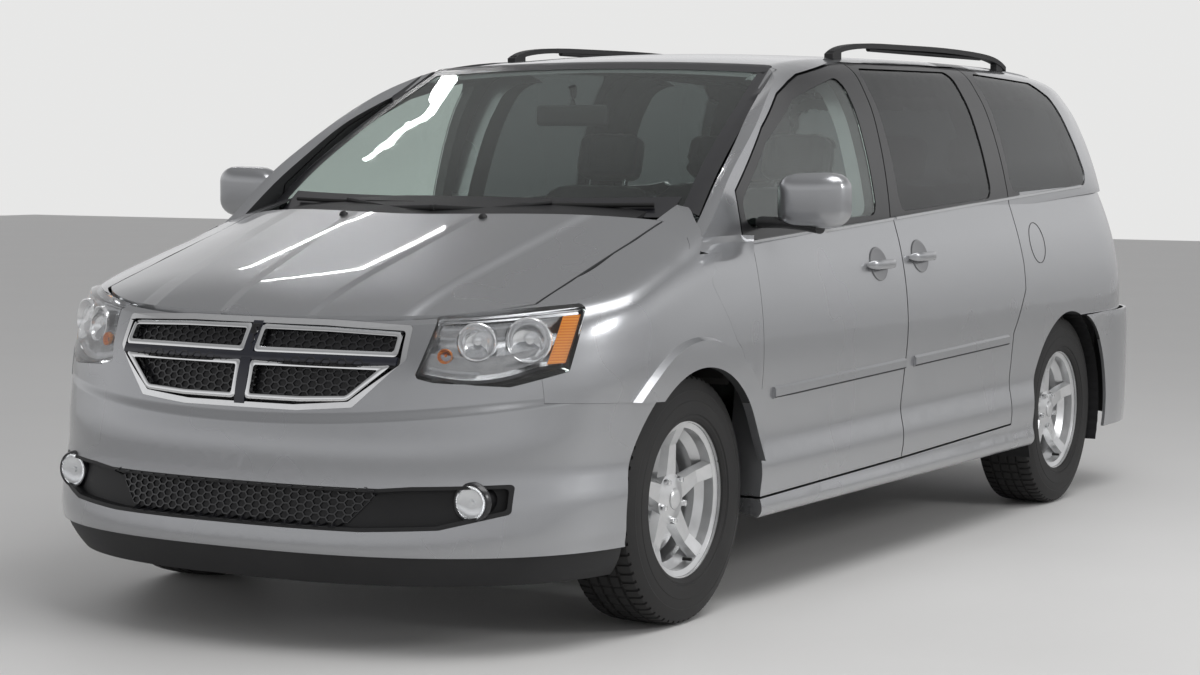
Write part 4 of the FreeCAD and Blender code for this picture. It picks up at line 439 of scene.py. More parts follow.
def honeycomb(outline, cell, stretch, wall, depth, surface):
    """A hexagonal mesh cut to an outline of (y, z) corners, its front laid on surface(y, z)."""
    mesh = bmesh.new()
    low_y, high_y = min(y for y, z in outline), max(y for y, z in outline)
    low_z, high_z = min(z for y, z in outline), max(z for y, z in outline)
    facing = Matrix.Rotation(math.pi / 2, 4, "Y")
    columns = math.ceil((high_y - low_y) / (1.5 * cell * stretch)) + 1
    rows = math.ceil((high_z - low_z) / (math.sqrt(3) * cell)) + 2
    for column in range(columns):
        for row in range(rows):
            y = low_y / stretch + column * 1.5 * cell
            z = low_z + (row - 0.5 * (column % 2)) * math.sqrt(3) * cell
            place = Matrix.Translation((0, y, z)) @ facing
            bmesh.ops.create_circle(mesh, cap_ends=True, segments=6, radius=cell, matrix=place)
    bmesh.ops.remove_doubles(mesh, verts=mesh.verts, dist=cell * 0.05)
    bmesh.ops.scale(mesh, vec=(1, stretch, 1), verts=mesh.verts)
    turn = turning(outline)
    for (y, z), (next_y, next_z) in zip(outline, outline[1:] + outline[:1]):
        geometry = mesh.verts[:] + mesh.edges[:] + mesh.faces[:]
        normal = Vector((0, next_z - z, y - next_y)) * turn
        bmesh.ops.bisect_plane(mesh, geom=geometry, plane_co=(0, y, z), plane_no=normal, clear_outer=True)
    bmesh.ops.remove_doubles(mesh, verts=mesh.verts, dist=cell * 0.2)
    whole = 2.6 * cell * cell * stretch
    slivers = [face for face in mesh.faces if face.calc_area() < whole * 0.3]
    bmesh.ops.delete(mesh, geom=slivers, context="FACES")
    openings = mesh.faces[:]
    bmesh.ops.inset_individual(mesh, faces=openings, thickness=wall / 2)
    bmesh.ops.delete(mesh, geom=openings, context="FACES")
    bmesh.ops.solidify(mesh, geom=mesh.faces[:], thickness=depth)
    back = min(vert.co.x for vert in mesh.verts)
    for vert in mesh.verts:
        vert.co.x += surface(vert.co.y, vert.co.z) - depth - back
    return mesh


gloss_black = Finish("gloss_black_plastic", Specular_IOR_Level=0.5, Coat_Weight=0.5, Coat_Roughness=0.1)
gloss_black.clouded(gloss_black.noise(12, 3), (0.004, 0.004, 0.006), (0.011, 0.011, 0.014), 0.28, 0.12)
mesh_cell, mesh_stretch, mesh_wall, mesh_depth, mesh_proud = 0.0120, 1.35, 0.0046, 0.007, 0.004
insert_skin = skin_of("grille_insert")


def grille_front(y, z):
    """The front of the mesh, just before the insert's own face."""
    return struck(insert_skin, (3.2, y, z), (-1, 0, 0), (2.40, y, z)).x + mesh_proud


grille_outline = [
    (-0.466, 0.876), (-0.468, 0.806), (-0.346, 0.684), (0.346, 0.684), (0.468, 0.806), (0.466, 0.876),
]
mesh_piece = honeycomb(grille_outline, mesh_cell, mesh_stretch, mesh_wall, mesh_depth, grille_front)
show("grille_mesh", mesh_piece, gloss_black, "body")
grille_foot, grille_middle, grille_nose = 0.651, 0.807, 2.5045
grille_lean, grille_bulge, grille_bow = 0.2821, 1.4166, 0.195


def grille_plane(y, z):
    """The grille's front leans back to its top and bows back to its sides."""
    up = z - grille_foot
    return grille_nose - grille_lean * up - grille_bulge * up * (z - grille_middle) - grille_bow * y * y


def lattice(rows, columns, place):
    """A grid whose corner at shares (u, v) goes to place(u, v)."""
    mesh = bmesh.new()
    bmesh.ops.create_grid(mesh, x_segments=rows, y_segments=columns, size=0.5)
    for vert in mesh.verts:
        vert.co = place(vert.co.x + 0.5, vert.co.y + 0.5)
    return mesh


def inset(corners, width):
    """The corners of a polygon with every side moved inward."""
    moved = []
    count, side = len(corners), turning(corners)
    for index in range(count):
        before, at, after = (Vector(corners[(index + step) % count]) for step in (-1, 0, 1))
        first, second = (at - before).normalized(), (after - at).normalized()
        in_first, in_second = Vector((-first.y, first.x)) * side, Vector((-second.y, second.x)) * side
        middle = (in_first + in_second).normalized()
        moved.append(tuple(at + middle * (width / middle.dot(in_first))))
    return moved


def rounded(corners, radius):
    """A closed path round a polygon with its corners eased."""
    path = []
    count, steps = len(corners), 5
    for index in range(count):
        before, at, after = (Vector(corners[(index + step) % count]) for step in (-1, 0, 1))
        start, end = at + (before - at).normalized() * radius, at + (after - at).normalized() * radius
        for step in range(steps + 1):
            share = step / steps
            path.append(start.lerp(at, share).lerp(at.lerp(end, share), share))
    return path + path[:1]


def ring(corners, radius, width, front, back, surface):
    """A crowned band round an opening: front and back are its distances before the surface."""
    outer = rounded(corners, radius)
    inner = rounded(inset(corners, width), radius * 0.6)
    ridge = rounded(inset(corners, width * 0.45), radius * 0.8)
    section = ((outer, back), (outer, front * 0.4), (ridge, front), (inner, front * 0.3), (inner, back))

    def place(u, v):
        path, proud = section[round(v * 4)]
        y, z = path[round(u * (len(outer) - 1))]
        return Vector((surface(y, z) + proud, y, z))

    mesh = lattice(len(outer) - 1, 4, place)
    bmesh.ops.remove_doubles(mesh, verts=mesh.verts, dist=1e-6)
    return mesh


def thick(mesh, depth):
    """Gives a sheet its thickness."""
    bmesh.ops.recalc_face_normals(mesh, faces=mesh.faces)
    bmesh.ops.solidify(mesh, geom=mesh.faces[:], thickness=depth)
    return mesh


def trapezoid(half_low, half_high, low, high):
    """The (y, z) corners of a plate that narrows from its foot to its top."""
    return [(-half_low, low), (half_low, low), (half_high, high), (-half_high, high)]


def patch(corners, rows, columns, proud, depth, surface, crown=0.0):
    """A plate over four (y, z) corners, laid on a surface and raised along its middle."""
    low_left, low_right, high_right, high_left = (Vector(corner) for corner in corners)

    def place(u, v):
        y, z = low_left.lerp(low_right, u).lerp(high_left.lerp(high_right, u), v)
        return Vector((surface(y, z) + proud + crown * math.sin(math.pi * v), y, z))

    return thick(lattice(rows, columns, place), depth)


cross_height, cross_half, cross_post = 0.797, 0.011, 0.017
upper_low, lower_high = cross_height + cross_half, cross_height - cross_half
upper_opening = [
    (cross_post, upper_low), (0.468, upper_low), (0.465, 0.875), (0.240, 0.882), (cross_post, 0.883),
]
lower_opening = [
    (cross_post, 0.681), (0.200, 0.681), (0.345, 0.688), (0.458, lower_high), (cross_post, lower_high),
]
for name, corners in (("upper", upper_opening), ("lower", lower_opening)):
    for side, turn in (("left", 1), ("right", -1)):
        opening = [(y * turn, z) for y, z in corners]
        frame_ring = ring(opening, 0.014, 0.0135, 0.0045, -0.014, grille_plane)
        show("grille_frame_%s_%s" % (name, side), frame_ring, chrome, "body", 50)
navy_black = Finish("navy_black_plastic", Coat_Weight=0.4, Coat_Roughness=0.1)
navy_black.clouded(navy_black.noise(20, 2), (0.006, 0.007, 0.014), (0.012, 0.014, 0.026), 0.28, 0.1)
upright = trapezoid(cross_post, cross_post, 0.667, 0.890)
beam = trapezoid(0.470, 0.470, lower_high, upper_low)
show("grille_upright", patch(upright, 4, 16, 0.0025, 0.014, grille_plane, 0.001), navy_black, "body")
show("grille_beam", patch(beam, 40, 4, 0.002, 0.014, grille_plane, 0.002), navy_black, "body")


# Lower grille: one wide trapezoid of the same black mesh in the bumper, moulded in one piece with the
# bezels of the fog lamps at its ends.
lower_skin = skin_of("lower_grille")


def lower_front(y, z):
    """The front of the mesh, just before the lower grille's own face."""
    return struck(lower_skin, (3.2, y, z), (-1, 0, 0), (2.50, y, z)).x + mesh_proud


lower_outline = [(-0.46, 0.462), (-0.36, 0.352), (0.36, 0.352), (0.46, 0.462)]
lower_mesh = honeycomb(lower_outline, mesh_cell, mesh_stretch, mesh_wall, mesh_depth, lower_front)
show("lower_mesh", lower_mesh, gloss_black, "body")


# Fog lamps: a metallised round bowl behind a clear moulded dome, held by a black ring that clips into
# each end of the lower grille.
fog_at = Vector((0, 0.690, 0.426))
fog_ring = (
    (-0.004, 0.056), (0.010, 0.0535), (0.014, 0.050), (0.012, 0.0460), (-0.004, 0.0460), (-0.004, 0.056),
)
fog_bowl = (
    (0.010, 0.0460), (0.006, 0.041), (0.003, 0.030), (0.002, 0.014), (0.002, 0.009), (0.008, 0.008),
    (0.009, 0),
)
fog_dome = ((0.011, 0.0460), (0.014, 0.0430), (0.018, 0.032), (0.0205, 0.016), (0.021, 0))
lens = Finish("clear_lamp_lens", Transmission_Weight=1.0, IOR=1.12, Coat_Weight=1.0, Coat_Roughness=0.01)
lens.clouded(lens.noise(14, 2), (0.97, 0.98, 0.985), (0.93, 0.945, 0.955), 0, 0.008)
bright_bowl = Finish("bright_lamp_reflector", Metallic=0.75)
bright_bowl.clouded(bright_bowl.noise(50, 2), (0.84, 0.85, 0.86), (0.92, 0.92, 0.93), 0.14, 0.08)


def mirrored_pair(name, make, finish, bodies=("body", "body"), angle=35):
    """The left piece as made, and its mirror image on the right."""
    pair = []
    for side, turn, body in (("left", 1, bodies[0]), ("right", -1, bodies[1])):
        mesh = make()
        bmesh.ops.scale(mesh, vec=(1, turn, 1), verts=mesh.verts)
        pair.append(show(name + "_" + side, mesh, finish, body, angle))
    return pair


fog_front, fog_facing = lower_skin.ray_cast(Vector((3.2, fog_at.y, fog_at.z)), Vector((-1, 0, 0)))[:2]
fog_at.x = fog_front.x
fog_axis = (fog_facing + Vector((1, 0.1, 0))).normalized()
mirrored_pair("fog_ring", lambda: turned(fog_ring, fog_at, fog_axis, 48), gloss_black)
mirrored_pair("fog_bowl", lambda: turned(fog_bowl, fog_at, fog_axis, 48), bright_bowl)
mirrored_pair("fog_dome", lambda: turned(fog_dome, fog_at, fog_axis, 48), lens)


# Headlamps: under each clear moulded lens a satin plate carries two bright round bowls and a small amber
# one, with an amber turn signal at the rear end and a black edge all round.
eye = Vector((8.2828, 4.4673, 1.3813))
yaw, pitch, roll = math.radians(-150.117), math.radians(-4.182), math.radians(0.2726)
focal_pixels, photo_width, photo_height = 2636.65, 1200, 675
ahead = Vector((math.cos(pitch) * math.cos(yaw), math.cos(pitch) * math.sin(yaw), math.sin(pitch)))
right = ahead.cross(Vector((0, 0, 1))).normalized()
above = right.cross(ahead)
right_rolled = right * math.cos(roll) + above * math.sin(roll)
above_rolled = above * math.cos(roll) - right * math.sin(roll)


def seen(skin, across, down):
    """Where the photograph's pixel (across, down) falls on a surface."""
    level = (photo_height / 2 - down) / focal_pixels
    sight = ahead + right_rolled * ((across - photo_width / 2) / focal_pixels) + above_rolled * level
    return skin.ray_cast(eye, sight.normalized())[0]


dress(lens, "headlamps")
lamp_skin = skin_of("headlamps")
lamp_axis = Vector((1, 0.42, 0)).normalized()
diagonal = Vector((1, 1, 0)).normalized()
lamp_inner_low, lamp_inner_top = Vector((2.3895, 0.492, 0.757)), Vector((2.3105, 0.528, 0.908))
lamp_rear_low, lamp_rear_top = Vector((2.2005, 0.880, 0.774)), Vector((2.0905, 0.865, 0.940))
lamp_sag, lens_wall = 0.0306, 0.006


def lamp_inside(u, v, back):
    """A place inside the lamp: u runs to its rear end, v up, back is the distance behind the lens."""
    u = 0.02 + 0.96 * u
    v = 0.04 + 0.92 * v
    low = lamp_inner_low.lerp(lamp_rear_low, u)
    low.z -= lamp_sag * math.sin(math.pi * min(u * 1.25, 1))
    place = low.lerp(lamp_inner_top.lerp(lamp_rear_top, u), v)
    place = struck(lamp_skin, place + diagonal * 0.6, -diagonal, place)
    return place - diagonal * (lens_wall + back)


def lamp_plate():
    """The ribbed plate that carries the bowls."""
    return lattice(24, 10, lambda u, v: lamp_inside(u, v, 0.034 + 0.010 * math.sin(v * math.pi * 4)))


def lamp_amber():
    """The turn signal's lens in the rear end of the lamp."""
    return thick(lattice(6, 12, lambda u, v: lamp_inside(0.86 + 0.135 * u, 0.08 + 0.84 * v, 0.010)), 0.003)


def lamp_edge():
    """A narrow black band just inside the lens, round its outline."""
    around = [(0, t) for t in (0, 0.5, 1)] + [(t, 1) for t in (0.25, 0.5, 0.75, 1)]
    around += [(1, t) for t in (0.5, 0)] + [(t, 0) for t in (0.8, 0.6, 0.4, 0.2, 0)]

    def place(u, v):
        spot = u * (len(around) - 1)
        index = min(int(spot), len(around) - 2)
        share = spot - index
        across, up = Vector(around[index]).lerp(Vector(around[index + 1]), share) - Vector((0.5, 0.5))
        inward = 0.030 * (1 - v)
        return lamp_inside(
            0.5 + across * (1 - inward), 0.5 + up * (1 - inward * 2.6), 0.002 + 0.02 * (1 - v),
        )

    return lattice(120, 2, place)


bowl_section = (
    (-0.004, 1.14), (0.006, 1.12), (0.008, 1.06), (0.005, 1), (-0.003, 0.94), (-0.012, 0.80), (-0.020, 0.55),
    (-0.024, 0.30), (-0.014, 0.26), (-0.010, 0.20), (-0.008, 0),
)
bowl_sunk = 0.016


def lamp_bowl(across, down, opening):
    """A round reflector with its bulb cap, seen at a pixel of the photograph."""
    place = seen(lamp_skin, across, down) - lamp_axis * bowl_sunk
    profile = [(depth, opening * share) for depth, share in bowl_section]
    return lambda: turned(profile, place, lamp_axis, 56)


amber = Finish("amber_signal_lens", Coat_Weight=1.0, Coat_Roughness=0.03)
amber.clouded(amber.ribs(42), (0.78, 0.20, 0.010), (0.92, 0.34, 0.03), 0.14, 0.1)
outer_bowl_at, inner_bowl_at, small_bowl_at = (528, 341), (476, 343), (444, 357)
bezel = Finish("satin_lamp_bezel", Metallic=0.85)
bezel.clouded(bezel.noise(40, 2), (0.36, 0.365, 0.375), (0.50, 0.505, 0.515), 0.20, 0.10)
mirrored_pair("lamp_plate", lamp_plate, bezel)
mirrored_pair("lamp_amber", lamp_amber, amber)
mirrored_pair("lamp_edge", lamp_edge, gloss_black)
mirrored_pair("lamp_outer_bowl", lamp_bowl(*outer_bowl_at, 0.056), bright_bowl)
mirrored_pair("lamp_inner_bowl", lamp_bowl(*inner_bowl_at, 0.048), bright_bowl)
mirrored_pair("lamp_small_bowl", lamp_bowl(*small_bowl_at, 0.018), amber)


# Side trim: a bright strip along the belt, painted mouldings across the doors, and a thin dark seam
# round the fuel lid. Strips and mouldings are clipped to the panels that they cross, and move with them.
side_skin = skin_of(
    "body_side_left", "front_door_left", "front_door_glass_left", "sliding_doors", "side_glass", "fenders",
)
shut_line = 0.012
bar_section = ((-0.5, -0.2), (-0.5, 0.35), (-0.32, 1), (0.32, 1), (0.5, 0.35), (0.5, -0.2), (-0.5, -0.2))


def along_side(x, z):
    """A place on the left side's outer skin, bridging the gaps between panels."""
    stations = (x - shut_line, x, x + shut_line)
    outermost = max(struck(side_skin, (station, 1.5, z), (0, -1, 0), (x, 0, z)).y for station in stations)
    return Vector((x, outermost, z))


def rolled(rows, columns, place):
    """A lattice rolled up so that its long edges meet, with both its ends closed."""
    mesh = lattice(rows, columns, place)
    bmesh.ops.remove_doubles(mesh, verts=mesh.verts, dist=1e-5)
    bmesh.ops.holes_fill(mesh, edges=mesh.edges[:], sides=0)
    return mesh


def bar(path, height, depth):
    """A trim bar along places on the left side: flat at its back, crowned in front, closed at both ends."""
    def place(u, v):
        up, out = bar_section[round(v * (len(bar_section) - 1))]
        return path[round(u * (len(path) - 1))] + Vector((0, out * depth, up * height))

    return rolled(len(path) - 1, len(bar_section) - 1, place)


def run(start, finish, count, height_at):
    """Places along the side from one x to another, at the height of a line."""
    stations = [start + (finish - start) * step / count for step in range(count + 1)]
    return [along_side(x, height_at(x)) for x in stations]


def belt_line(x):
    """The height of the bright strip."""
    return belt_height - belt_slope * x - strip_drop


def moulding_line(x):
    """The height of the door mouldings."""
    return moulding_height - moulding_slope * x


def belt_strip(start, finish, count):
    return lambda: bar(run(start, finish, count, belt_line), strip_height, strip_depth)


def moulding(start, finish):
    return lambda: bar(run(start, finish, 14, moulding_line), moulding_width, moulding_depth)


front_door_bodies = ("front_door_left", "front_door_right")
strip_drop, strip_height, strip_depth = 0.004, 0.013, 0.006
moulding_height, moulding_slope, moulding_width, moulding_depth = 0.6600, 0.0217, 0.036, 0.010
mirrored_pair("belt_strip_front", belt_strip(1.190, 0.118, 16), chrome, front_door_bodies)
mirrored_pair("belt_strip_rear", belt_strip(0.095, -1.775, 30), chrome)
mirrored_pair("door_moulding", moulding(1.135, 0.150), silver, front_door_bodies, 20)
mirrored_pair("sliding_moulding", moulding(0.070, -0.800), silver, angle=20)

fuel_at = along_side(-1.1745, 1.020)
lid_ring = ((-0.001, 0.0745), (0.0012, 0.0745), (0.0012, 0.0765), (-0.001, 0.0765), (-0.001, 0.0745))


def fuel_lid():
    """The fine dark seam round the lid, bent to the quarter panel."""
    mesh = turned(lid_ring, fuel_at, (0, 1, 0), 64)
    for vert in mesh.verts:
        vert.co.y += along_side(vert.co.x, vert.co.z).y - fuel_at.y
    return mesh


show("fuel_lid_seam", fuel_lid(), black_rubber, "body")


# Door handles: a painted moulded bar standing over a round dished bowl in the door's skin, two each
# side. The front one rides its door, the rear one the sliding door.
half_length, half_height, half_thick, reach = 0.098, 0.0155, 0.0075, 0.030
bowl_profile = (
    (0.0010, 0.056), (0.0030, 0.053), (0.0026, 0.049), (0.0016, 0.034), (0.0012, 0.014), (0.0011, 0),
)
bowl_stretch = 1.25


def handle_bar(x, z):
    """The grip, arched out from the door and pinched to its ends."""
    skin = along_side(x, z)

    def place(u, v):
        along = (u - 0.5) * 2
        arch = reach * (1 - abs(along) ** 5) + 0.002
        pinch = (1 - abs(along) ** 12) * 0.75 + 0.25
        height = math.sin(v * math.tau) * half_height * pinch
        depth = math.cos(v * math.tau) * half_thick * pinch
        return Vector((skin.x - along * half_length, skin.y + arch + depth, skin.z + height))

    return rolled(26, 14, place)


def handle_bowl(x, z):
    """The dished bowl behind the grip, laid on the door."""
    skin = along_side(x, z)
    mesh = turned(bowl_profile, skin, (0, 1, 0), 48)
    for vert in mesh.verts:
        vert.co.x = skin.x + (vert.co.x - skin.x) * bowl_stretch
        vert.co.y += along_side(vert.co.x, vert.co.z).y - skin.y
    return mesh


# The bowl's silver is painted far darker than the door's: painted shade in the hollow behind the grip.
shadow_silver = painted("shaded_handle_bowl")
shadow_flake = shadow_silver.noise(1800, 1)
shadow_silver.vary("Base Color", shadow_silver.mix(shadow_flake, (0.10, 0.103, 0.11), (0.16, 0.163, 0.17)))
for name, x, z, bodies in (
    ("front_handle", 0.3155, 0.995, front_door_bodies), ("sliding_handle", -0.0345, 1.009, ("body", "body")),
):
    mirrored_pair(name + "_bowl", lambda: handle_bowl(x, z), shadow_silver, bodies)
    mirrored_pair(name, lambda: handle_bar(x, z), trim_silver, bodies, 60)


# Door mirrors: a rounded painted shell on a black moulded foot that is bolted to the door, with the
# silvered mirror glass in its rear face. The shell takes the place of the solid model's block.
mirror_low, mirror_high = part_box("mirror_left")
shell_inset = Vector((0.004, 0.072, 0.014))
shell_margin = Vector((0.002, 0.002, 0.002))
pane_size = (0.004, 0.168, 0.118)


def eased_block(size, offset, segments):
    """A block with all its edges rounded."""
    mesh = bmesh.new()
    bmesh.ops.create_cube(mesh, size=1)
    bmesh.ops.scale(mesh, vec=size, verts=mesh.verts)
    edges = mesh.edges[:]
    bmesh.ops.bevel(
        mesh, geom=edges, offset=offset, segments=segments, profile=0.5, affect="EDGES", material=-1,
    )
    return mesh


def mirror_shell():
    """The housing: a round block that narrows and leans in to its front."""
    mesh = eased_block((1, 1, 1), 0.30, 6)
    size = mirror_high - mirror_low - shell_inset - shell_margin
    centre = mirror_low + shell_inset + size / 2
    for vert in mesh.verts:
        front = max(vert.co.x, 0) * 2
        vert.co.y = vert.co.y * (1 - 0.20 * front ** 2) - 0.04 * front
        vert.co.z = vert.co.z * (1 - 0.12 * front ** 2) + 0.03 * vert.co.y
        vert.co = centre + Vector((vert.co.x * size.x, vert.co.y * size.y, vert.co.z * size.z))
    return mesh


def mirror_foot():
    """The black arm from the door to the underside of the shell."""
    start = Vector((mirror_low.x + 0.055, mirror_low.y + 0.010, mirror_low.z + 0.030))
    end = Vector((mirror_low.x + 0.055, mirror_high.y - 0.095, mirror_low.z + 0.012))

    def place(u, v):
        width, height, arch = 0.046 - 0.012 * u, 0.018 - 0.004 * u, 0.006 * math.sin(u * math.pi)
        turn = v * math.tau
        return start.lerp(end, u) + Vector((math.cos(turn) * width, 0, math.sin(turn) * height + arch))

    return rolled(12, 20, place)


def mirror_pane():
    """The mirror glass: a thin pane with rounded corners in the back of the shell."""
    mesh = bmesh.new()
    bmesh.ops.create_cube(mesh, size=1)
    bmesh.ops.scale(mesh, vec=pane_size, verts=mesh.verts)
    edges = [edge for edge in mesh.edges if abs((edge.verts[0].co - edge.verts[1].co).x) > 0.001]
    bmesh.ops.bevel(mesh, geom=edges, offset=0.036, segments=6, profile=0.5, affect="EDGES", material=-1)
    middle = (mirror_low + mirror_high) / 2
    centre = Vector((mirror_low.x + 0.0045, middle.y + shell_inset.y / 2, middle.z + 0.006))
    bmesh.ops.translate(mesh, vec=centre, verts=mesh.verts)
    return mesh


shells = mirrored_pair("mirror_shell", mirror_shell, trim_silver, front_door_bodies, 50)
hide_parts("mirror_left")
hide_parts("mirror_right")
mirrored_pair("mirror_foot", mirror_foot, plastic, front_door_bodies, 50)
mirrored_pair("mirror_pane", mirror_pane, chrome, front_door_bodies)


# Windshield dressing: two wipers parked on the glass, the inner mirror on its stalk, and two washer
# jets clipped into the hood. The arms are black steel, the blades rubber in a black carrier.
def rod(path, radius_start, radius_end, segments=10):
    """A round rod through places, closed at both ends."""
    def place(u, v):
        spot = u * (len(path) - 1)
        index = min(int(spot + 1e-6), len(path) - 2)
        centre = path[index].lerp(path[index + 1], spot - index)
        heading = (path[index + 1] - path[index]).normalized()
        side = heading.cross(Vector((0, 0, 1))).normalized()
        lift = side.cross(heading)
        radius = radius_start + (radius_end - radius_start) * u
        return centre + (side * math.cos(v * math.tau) + lift * math.sin(v * math.tau)) * radius

    return rolled((len(path) - 1) * 2, segments, place)


glass_skin = skin_of("windshield")
glass_low, glass_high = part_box("windshield")
wiper_bow = 0.302
glass_outward = Vector((0.45, 0, 0.89))


def on_glass(y, behind_edge, proud):
    """A place over the windshield, that far behind its lower edge."""
    x = glass_high.x - wiper_bow * y * y - behind_edge
    place = struck(glass_skin, (x, y, 2.2), (0, 0, -1), (x, y, glass_low.z))
    return place + glass_outward * proud


wipers = ((0.66, 0.06, 0.00, 0.36), (-0.12, -0.66, 0.02, -0.40))
for number, (blade_start, blade_end, pivot, grip) in enumerate(wipers):
    blade = [on_glass(blade_start + (blade_end - blade_start) * step / 8, 0.035, 0.012) for step in range(9)]
    show("wiper_blade_%d" % number, rod(blade, 0.008, 0.006), black_rubber, "body", 60)
    shares = [step / 6 for step in range(7)]
    arm = [on_glass(pivot + (grip - pivot) * t, 0.08 * t - 0.045, 0.030 - 0.010 * t) for t in shares]
    show("wiper_arm_%d" % number, rod(arm, 0.011, 0.006), plastic, "body", 60)

hood_skin = skin_of("hood")
jet_x, jet_side = 1.6515, 0.253
jet_profile = ((-0.002, 0.014), (0.004, 0.013), (0.009, 0.009), (0.011, 0.004), (0.0115, 0))
for name, side in (("washer_jet_right", -1), ("washer_jet_left", 1)):
    jet_at = struck(hood_skin, (jet_x, side * jet_side, 2), (0, 0, -1), (jet_x, 0, 1.16))
    show(name, turned(jet_profile, jet_at, (0.1, 0, 1), 16), plastic, "hood")


cabin_mirror_at = Vector((0.700, 0, 1.475))
stalk = [cabin_mirror_at + Vector(step) for step in ((0, 0, 0.025), (-0.010, 0, 0.065), (0, 0, 0.097))]


def cabin_mirror():
    """The eased housing, turned a little aside."""
    mesh = eased_block((0.032, 0.250, 0.070), 0.014, 4)
    aside = Matrix.Rotation(math.radians(12), 3, "Z")
    bmesh.ops.rotate(mesh, cent=(0, 0, 0), matrix=aside, verts=mesh.verts)
    bmesh.ops.translate(mesh, vec=cabin_mirror_at, verts=mesh.verts)
    return mesh


show("cabin_mirror", cabin_mirror(), plastic, "body", 50)
show("cabin_mirror_stalk", rod(stalk, 0.009, 0.014), plastic, "body")


# Front fenders behind the arches: the pressed side of each wing, from the flare to the door's front edge,
# rounded over at its shoulder. It is welded to the rest of the fender and painted with it.
fender_skin = skin_of("fenders")
door_skin = skin_of("front_door_left")
shoulder_skin = skin_of("body_side_left")
door_slot, wing_wall, wing_lift = 0.0055, 0.0015, 0.0012
shoulder_from, shoulder_half, shoulder_to = 1.05, 1.095, 1.105
on_left, arch_end = 0.5, 1.62
wing_overlaps = ((1.03, 0.045), (0.80, 0.016), (0, 0.004))
wing_levels = [0.452 + 0.021 * step for step in range(31)] + [1.088, 1.094, 1.100, 1.112]
wing_columns = 24


def from_left(skin, x, z, otherwise=(0, 0, 0)):
    """Where a level ray from the left meets a skin."""
    return struck(skin, (x, 1.6, z), (0, -1, 0), otherwise).y


def door_front(z):
    """The front door's front edge at a height, and how far out it stands there."""
    z = min(z, 1.06)
    x = 1.15
    while from_left(door_skin, x + 0.001, z) > on_left:
        x += 0.001
    return x, from_left(door_skin, x - 0.012, z)


def wing_row(z):
    """The places from the door to the fender's edge at one height."""
    door_x, door_y = door_front(z)
    x = door_x + 0.006
    while x < arch_end and from_left(fender_skin, x, z) < on_left:
        x += 0.002
    x += next(overlap for level, overlap in wing_overlaps if z > level)
    met = from_left(fender_skin, x, z, (x, door_y, z)) - wing_lift
    end_y = met if abs(met - door_y) < 0.010 or z > shoulder_from else door_y - 0.001
    start_x = door_x + door_slot
    places = []
    for step in range(wing_columns + 1):
        share = step / wing_columns
        place = Vector((start_x + (x - start_x) * share, door_y + (end_y - door_y) * share, z))
        if z > shoulder_half:
            set_in = from_left(shoulder_skin, place.x, z, place)
            place.y += (set_in + 0.001 - place.y) * (0.45 if z < shoulder_to else 1)
        places.append(place)
    return places


def wing():
    """The sheet through all the rows, from the sill to the shoulder."""
    rows = [wing_row(z) for z in wing_levels]
    top = len(rows) - 1
    sheet = lattice(wing_columns, top, lambda u, v: rows[round(v * top)][round(u * wing_columns)])
    return thick(sheet, wing_wall)


mirrored_pair("fender_side", wing, silver)


# Windshield border: the black ceramic band printed round the pane, and the rubber seal that fills the
# gap between the pane and the pillars.
side_width, top_width, foot_width, seal_width = 0.036, 0.055, 0.085, 0.021
band_steps, seal_from = 48, 0.8
over_glass = Vector((0.0004, 0, 0.0008))


def last_hit(inner, outer, ray):
    """The farthest value towards outer at which the ray still meets the glass."""
    for halving in range(14):
        middle = (inner + outer) / 2
        inner, outer = (middle, outer) if ray(middle) else (inner, middle)
    return inner


def on_pane(x, y):
    """The place on the windshield under a level place, or none beside it."""
    return glass_skin.ray_cast(Vector((x, y, 2.2)), Vector((0, 0, -1)))[0]


def side_band():
    """The printed band along the pillar, and the seal that bridges to it."""
    def place(u, v):
        x = 1.300 - 0.765 * u
        edge = last_hit(0.3, 0.9, lambda y: on_pane(x, y))
        if v < seal_from:
            return on_pane(x, edge - side_width * (1 - v / 0.75)) + over_glass
        pillar = struck(shoulder_skin, (x, edge + seal_width, 2.2), (0, 0, -1), (x, edge + seal_width, 0))
        if pillar.z > 1:
            return pillar + Vector((0.0008, 0, 0.0012))
        return on_pane(x, edge) + Vector((0, seal_width, -0.008))

    return lattice(band_steps, 4, place)


def top_band():
    """The printed band under the roof's front edge."""
    def place(u, v):
        y = 0.648 * (2 * u - 1)
        edge = last_hit(0.9, 0.4, lambda x: on_pane(x, y))
        if v < seal_from:
            return on_pane(edge + top_width * (1 - v / 0.75), y) + over_glass
        return on_pane(edge, y) + Vector((-0.008, 0, 0.001))

    return lattice(band_steps, 4, place)


def foot_band():
    """The printed band over the cowl."""
    def place(u, v):
        y = 0.715 * (2 * u - 1)
        edge = last_hit(1.13, 1.7, lambda x: on_pane(x, y))
        return on_pane(edge - foot_width * (1 - v), y) + over_glass

    return lattice(band_steps, 4, place)


mirrored_pair("windshield_side_band", side_band, gloss_black, angle=60)
show("windshield_top_band", top_band(), gloss_black, "body", 60)
show("windshield_foot_band", foot_band(), gloss_black, "body", 60)


